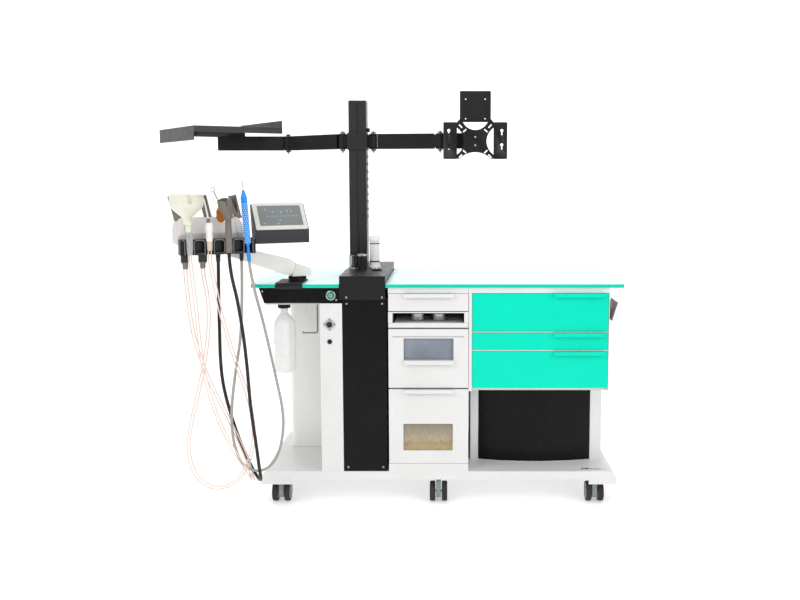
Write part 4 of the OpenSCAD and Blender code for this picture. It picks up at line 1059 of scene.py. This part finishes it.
def add_spray():
    """Spray handle with a slanted flared hood, slit into three leaves, round its nozzle."""
    where = HEAD @ shift(HAND_X[2], HAND_Y, 0)
    grip = [(0, 974), (11, 974), (12.4, 977), (13, 984), (12.6, 1020), (11.6, 1062), (10.6, 1066),
            (10.4, 1098), (12, 1102), (0, 1104)]
    on_head("spray_grip", Form().lathe(soft_line(grip, 1.2), steps=44), "warm_grey", where, smooth=45,
            stands_for="spray_handpiece")
    lean = where @ shift(2, 0, 1096) @ turn(8, "X") @ turn(-16, "Y")
    around, rows, rings = 72, 12, []
    for wall, ring_rows in ((0, range(rows + 1)), (1.8, range(rows, -1, -1))):
        for v in (j / rows for j in ring_rows):
            r = 15.6 + 8.6 * v + 0.8 * math.sin(math.pi * v) - wall
            ring = []
            for k in range(around):
                a = math.tau * k / around
                off_slit = abs((math.degrees(a) - 35) % 120 - 60)
                tall = 71 - 5 * (off_slit / 60) ** 2 - (24 if off_slit > 55 else 0)
                ring.append((r * math.cos(a), r * math.sin(a), -1 + tall * v))
            rings.append(ring)
    hood = Form().loft(rings, caps=False)
    hood.lathe(soft([(13.6, -2), (16.2, -2), (17, 0.5), (16.2, 3), (13.6, 3)], 1), closed=True, steps=48)
    on_head("spray_hood", hood, "warm_grey", lean, smooth=50)
    nozzle = Form().lathe([(0, 2), (9, 2), (9, 10), (5, 14), (5, 34), (3, 38), (2.4, 52), (0, 53)], steps=28)
    on_head("spray_nozzle", nozzle, "dark_plastic", lean)


def add_probe():
    """Blue probe: ribbed grip with a raised dot pattern, cone, and thin bronze tip."""
    where = HEAD @ shift(HAND_X[3] - 1, HAND_Y, 0) @ shift(4, 0, 939) @ turn(-3.6, "Y")
    body = [(0, 0), (6, 0), (7, 1), (7, 28), (5.6, 31), (5.4, 58), (8, 61), (10.6, 64)]
    for k in range(20):
        z = 68 + 7.6 * k
        body += [(10.6, z), (11.4, z + 1.2), (11.4, z + 4.2), (10.6, z + 5.4)]
    body += [(11.2, 224), (11.2, 229), (4.4, 254), (3.6, 256), (0, 256)]
    on_head("probe_grip", Form().lathe(soft_line(body, 0.6, steps=2), steps=44), "blue", where, smooth=45,
            stands_for="probe_handpiece")
    dots = Form()
    for k in range(19):
        z = 70.7 + 7.6 * k
        for at in circle(0, 0, 11.3, 10, 18 * (k % 2)):
            dots.tube([(*at, z - 1.9), (*at, z + 1.9)], 2.7, 6)
    on_head("probe_dots", dots, "pale_blue", where)
    tip = Form().tube([(0, 0, 252), (-0.4, 0, 275), (-1.4, 0, 294)], 2.4, 10)
    on_head("probe_tip", tip, "bronze", where)


def add_atomizer():
    """Amber spray bottle with flat facets, dark collar and a twisted wire nozzle that ends in a loop."""
    where = HEAD @ shift(FLASK[0], FLASK[1], FLASK[2] + 0.5)
    profile = [(0, 0), (12.4, 0), (13.6, 1), (14, 4), (14, 20), (13.4, 26), (14, 32), (14, 48), (13, 52),
               (8, 58.6), (6.6, 61), (6.6, 64), (0, 64)]
    glass = Form().lathe(soft_line(profile, 1), steps=10)
    piece("atomizer_bottle", glass, "atomizer", "amber", where, smooth=15, bevel=0.5, stands_for="atomizer")
    cap = Form().lathe([(0, 62), (7.4, 62), (7.4, 69), (6, 71), (0, 71)], steps=28)
    piece("atomizer_cap", cap, "atomizer", "dark_plastic", where)
    lean = HEAD @ shift(FLASK[0] + 2, FLASK[1], FLASK[2] + 68) @ turn(-24, "Y")
    wire = Form().rod((0, 0, 0), 6, 12)
    for side in (-1, 1):
        r, step = side * 1.3, 0.55
        twist = [(r * math.cos(step * k), r * math.sin(step * k), 10 + k) for k in range(46)]
        wire.tube(twist, 2.0, 8)
    loop = [(6.6 * math.cos(a), 0, 64 + 8.4 * math.sin(a)) for a in [math.tau * k / 28 for k in range(28)]]
    wire.tube(loop, 2.2, 8, closed=True)
    piece("atomizer_nozzle", wire, "atomizer", "dark_steel", lean, smooth=60)


add_column()
add_arm()
add_housing()
add_rack()
add_display()
add_funnel()
add_syringe()
add_spray()
add_probe()
add_atomizer()


# ---------- floor and light ----------

def add_studio():
    """Pale floor that runs up into a backdrop, an even sky and three large soft lights."""
    path = [(-4, 0), (2.2, 0)] + arc(2.2, 1.6, 1.6, -90, 0, 12) + [(3.8, 5)]
    sweep = bmesh.new()
    rows = [[sweep.verts.new((x, y, z)) for x in (-7, 7)] for y, z in path]
    for a, b in zip(rows, rows[1:]):
        sweep.faces.new([a[0], a[1], b[1], b[0]])
    floor = put_mesh("floor", sweep)
    floor.data.shade_smooth()
    floor.data.materials.append(finish("floor_paint", "white_board", (0.92, 0.92, 0.92), 0.5, 0.0, 200, 0.0,
                                       Emission_Color=(1, 1, 1, 1), Emission_Strength=0.3))
    world = bpy.data.worlds.new("sky")
    world.use_nodes = True
    world.node_tree.nodes["Background"].inputs["Color"].default_value = (1, 1, 1, 1)
    world.node_tree.nodes["Background"].inputs["Strength"].default_value = 0.62
    bpy.context.scene.world = world
    for name, at, size, power in (("key", (-2.4, -3.2, 3.4), 2.6, 66), ("fill", (3.0, -3.0, 2.2), 2.6, 44),
                                  ("top", (0, 0.2, 3.6), 3.2, 42)):
        data = bpy.data.lights.new(name, "AREA")
        data.size = size
        data.energy = power
        light = put(name, data)
        light.location = at
        light.rotation_euler = (Vector((0, 0, 0.7)) - Vector(at)).to_track_quat("-Z", "Y").to_euler()
    bpy.context.scene.view_settings.view_transform = "Standard"


add_studio()
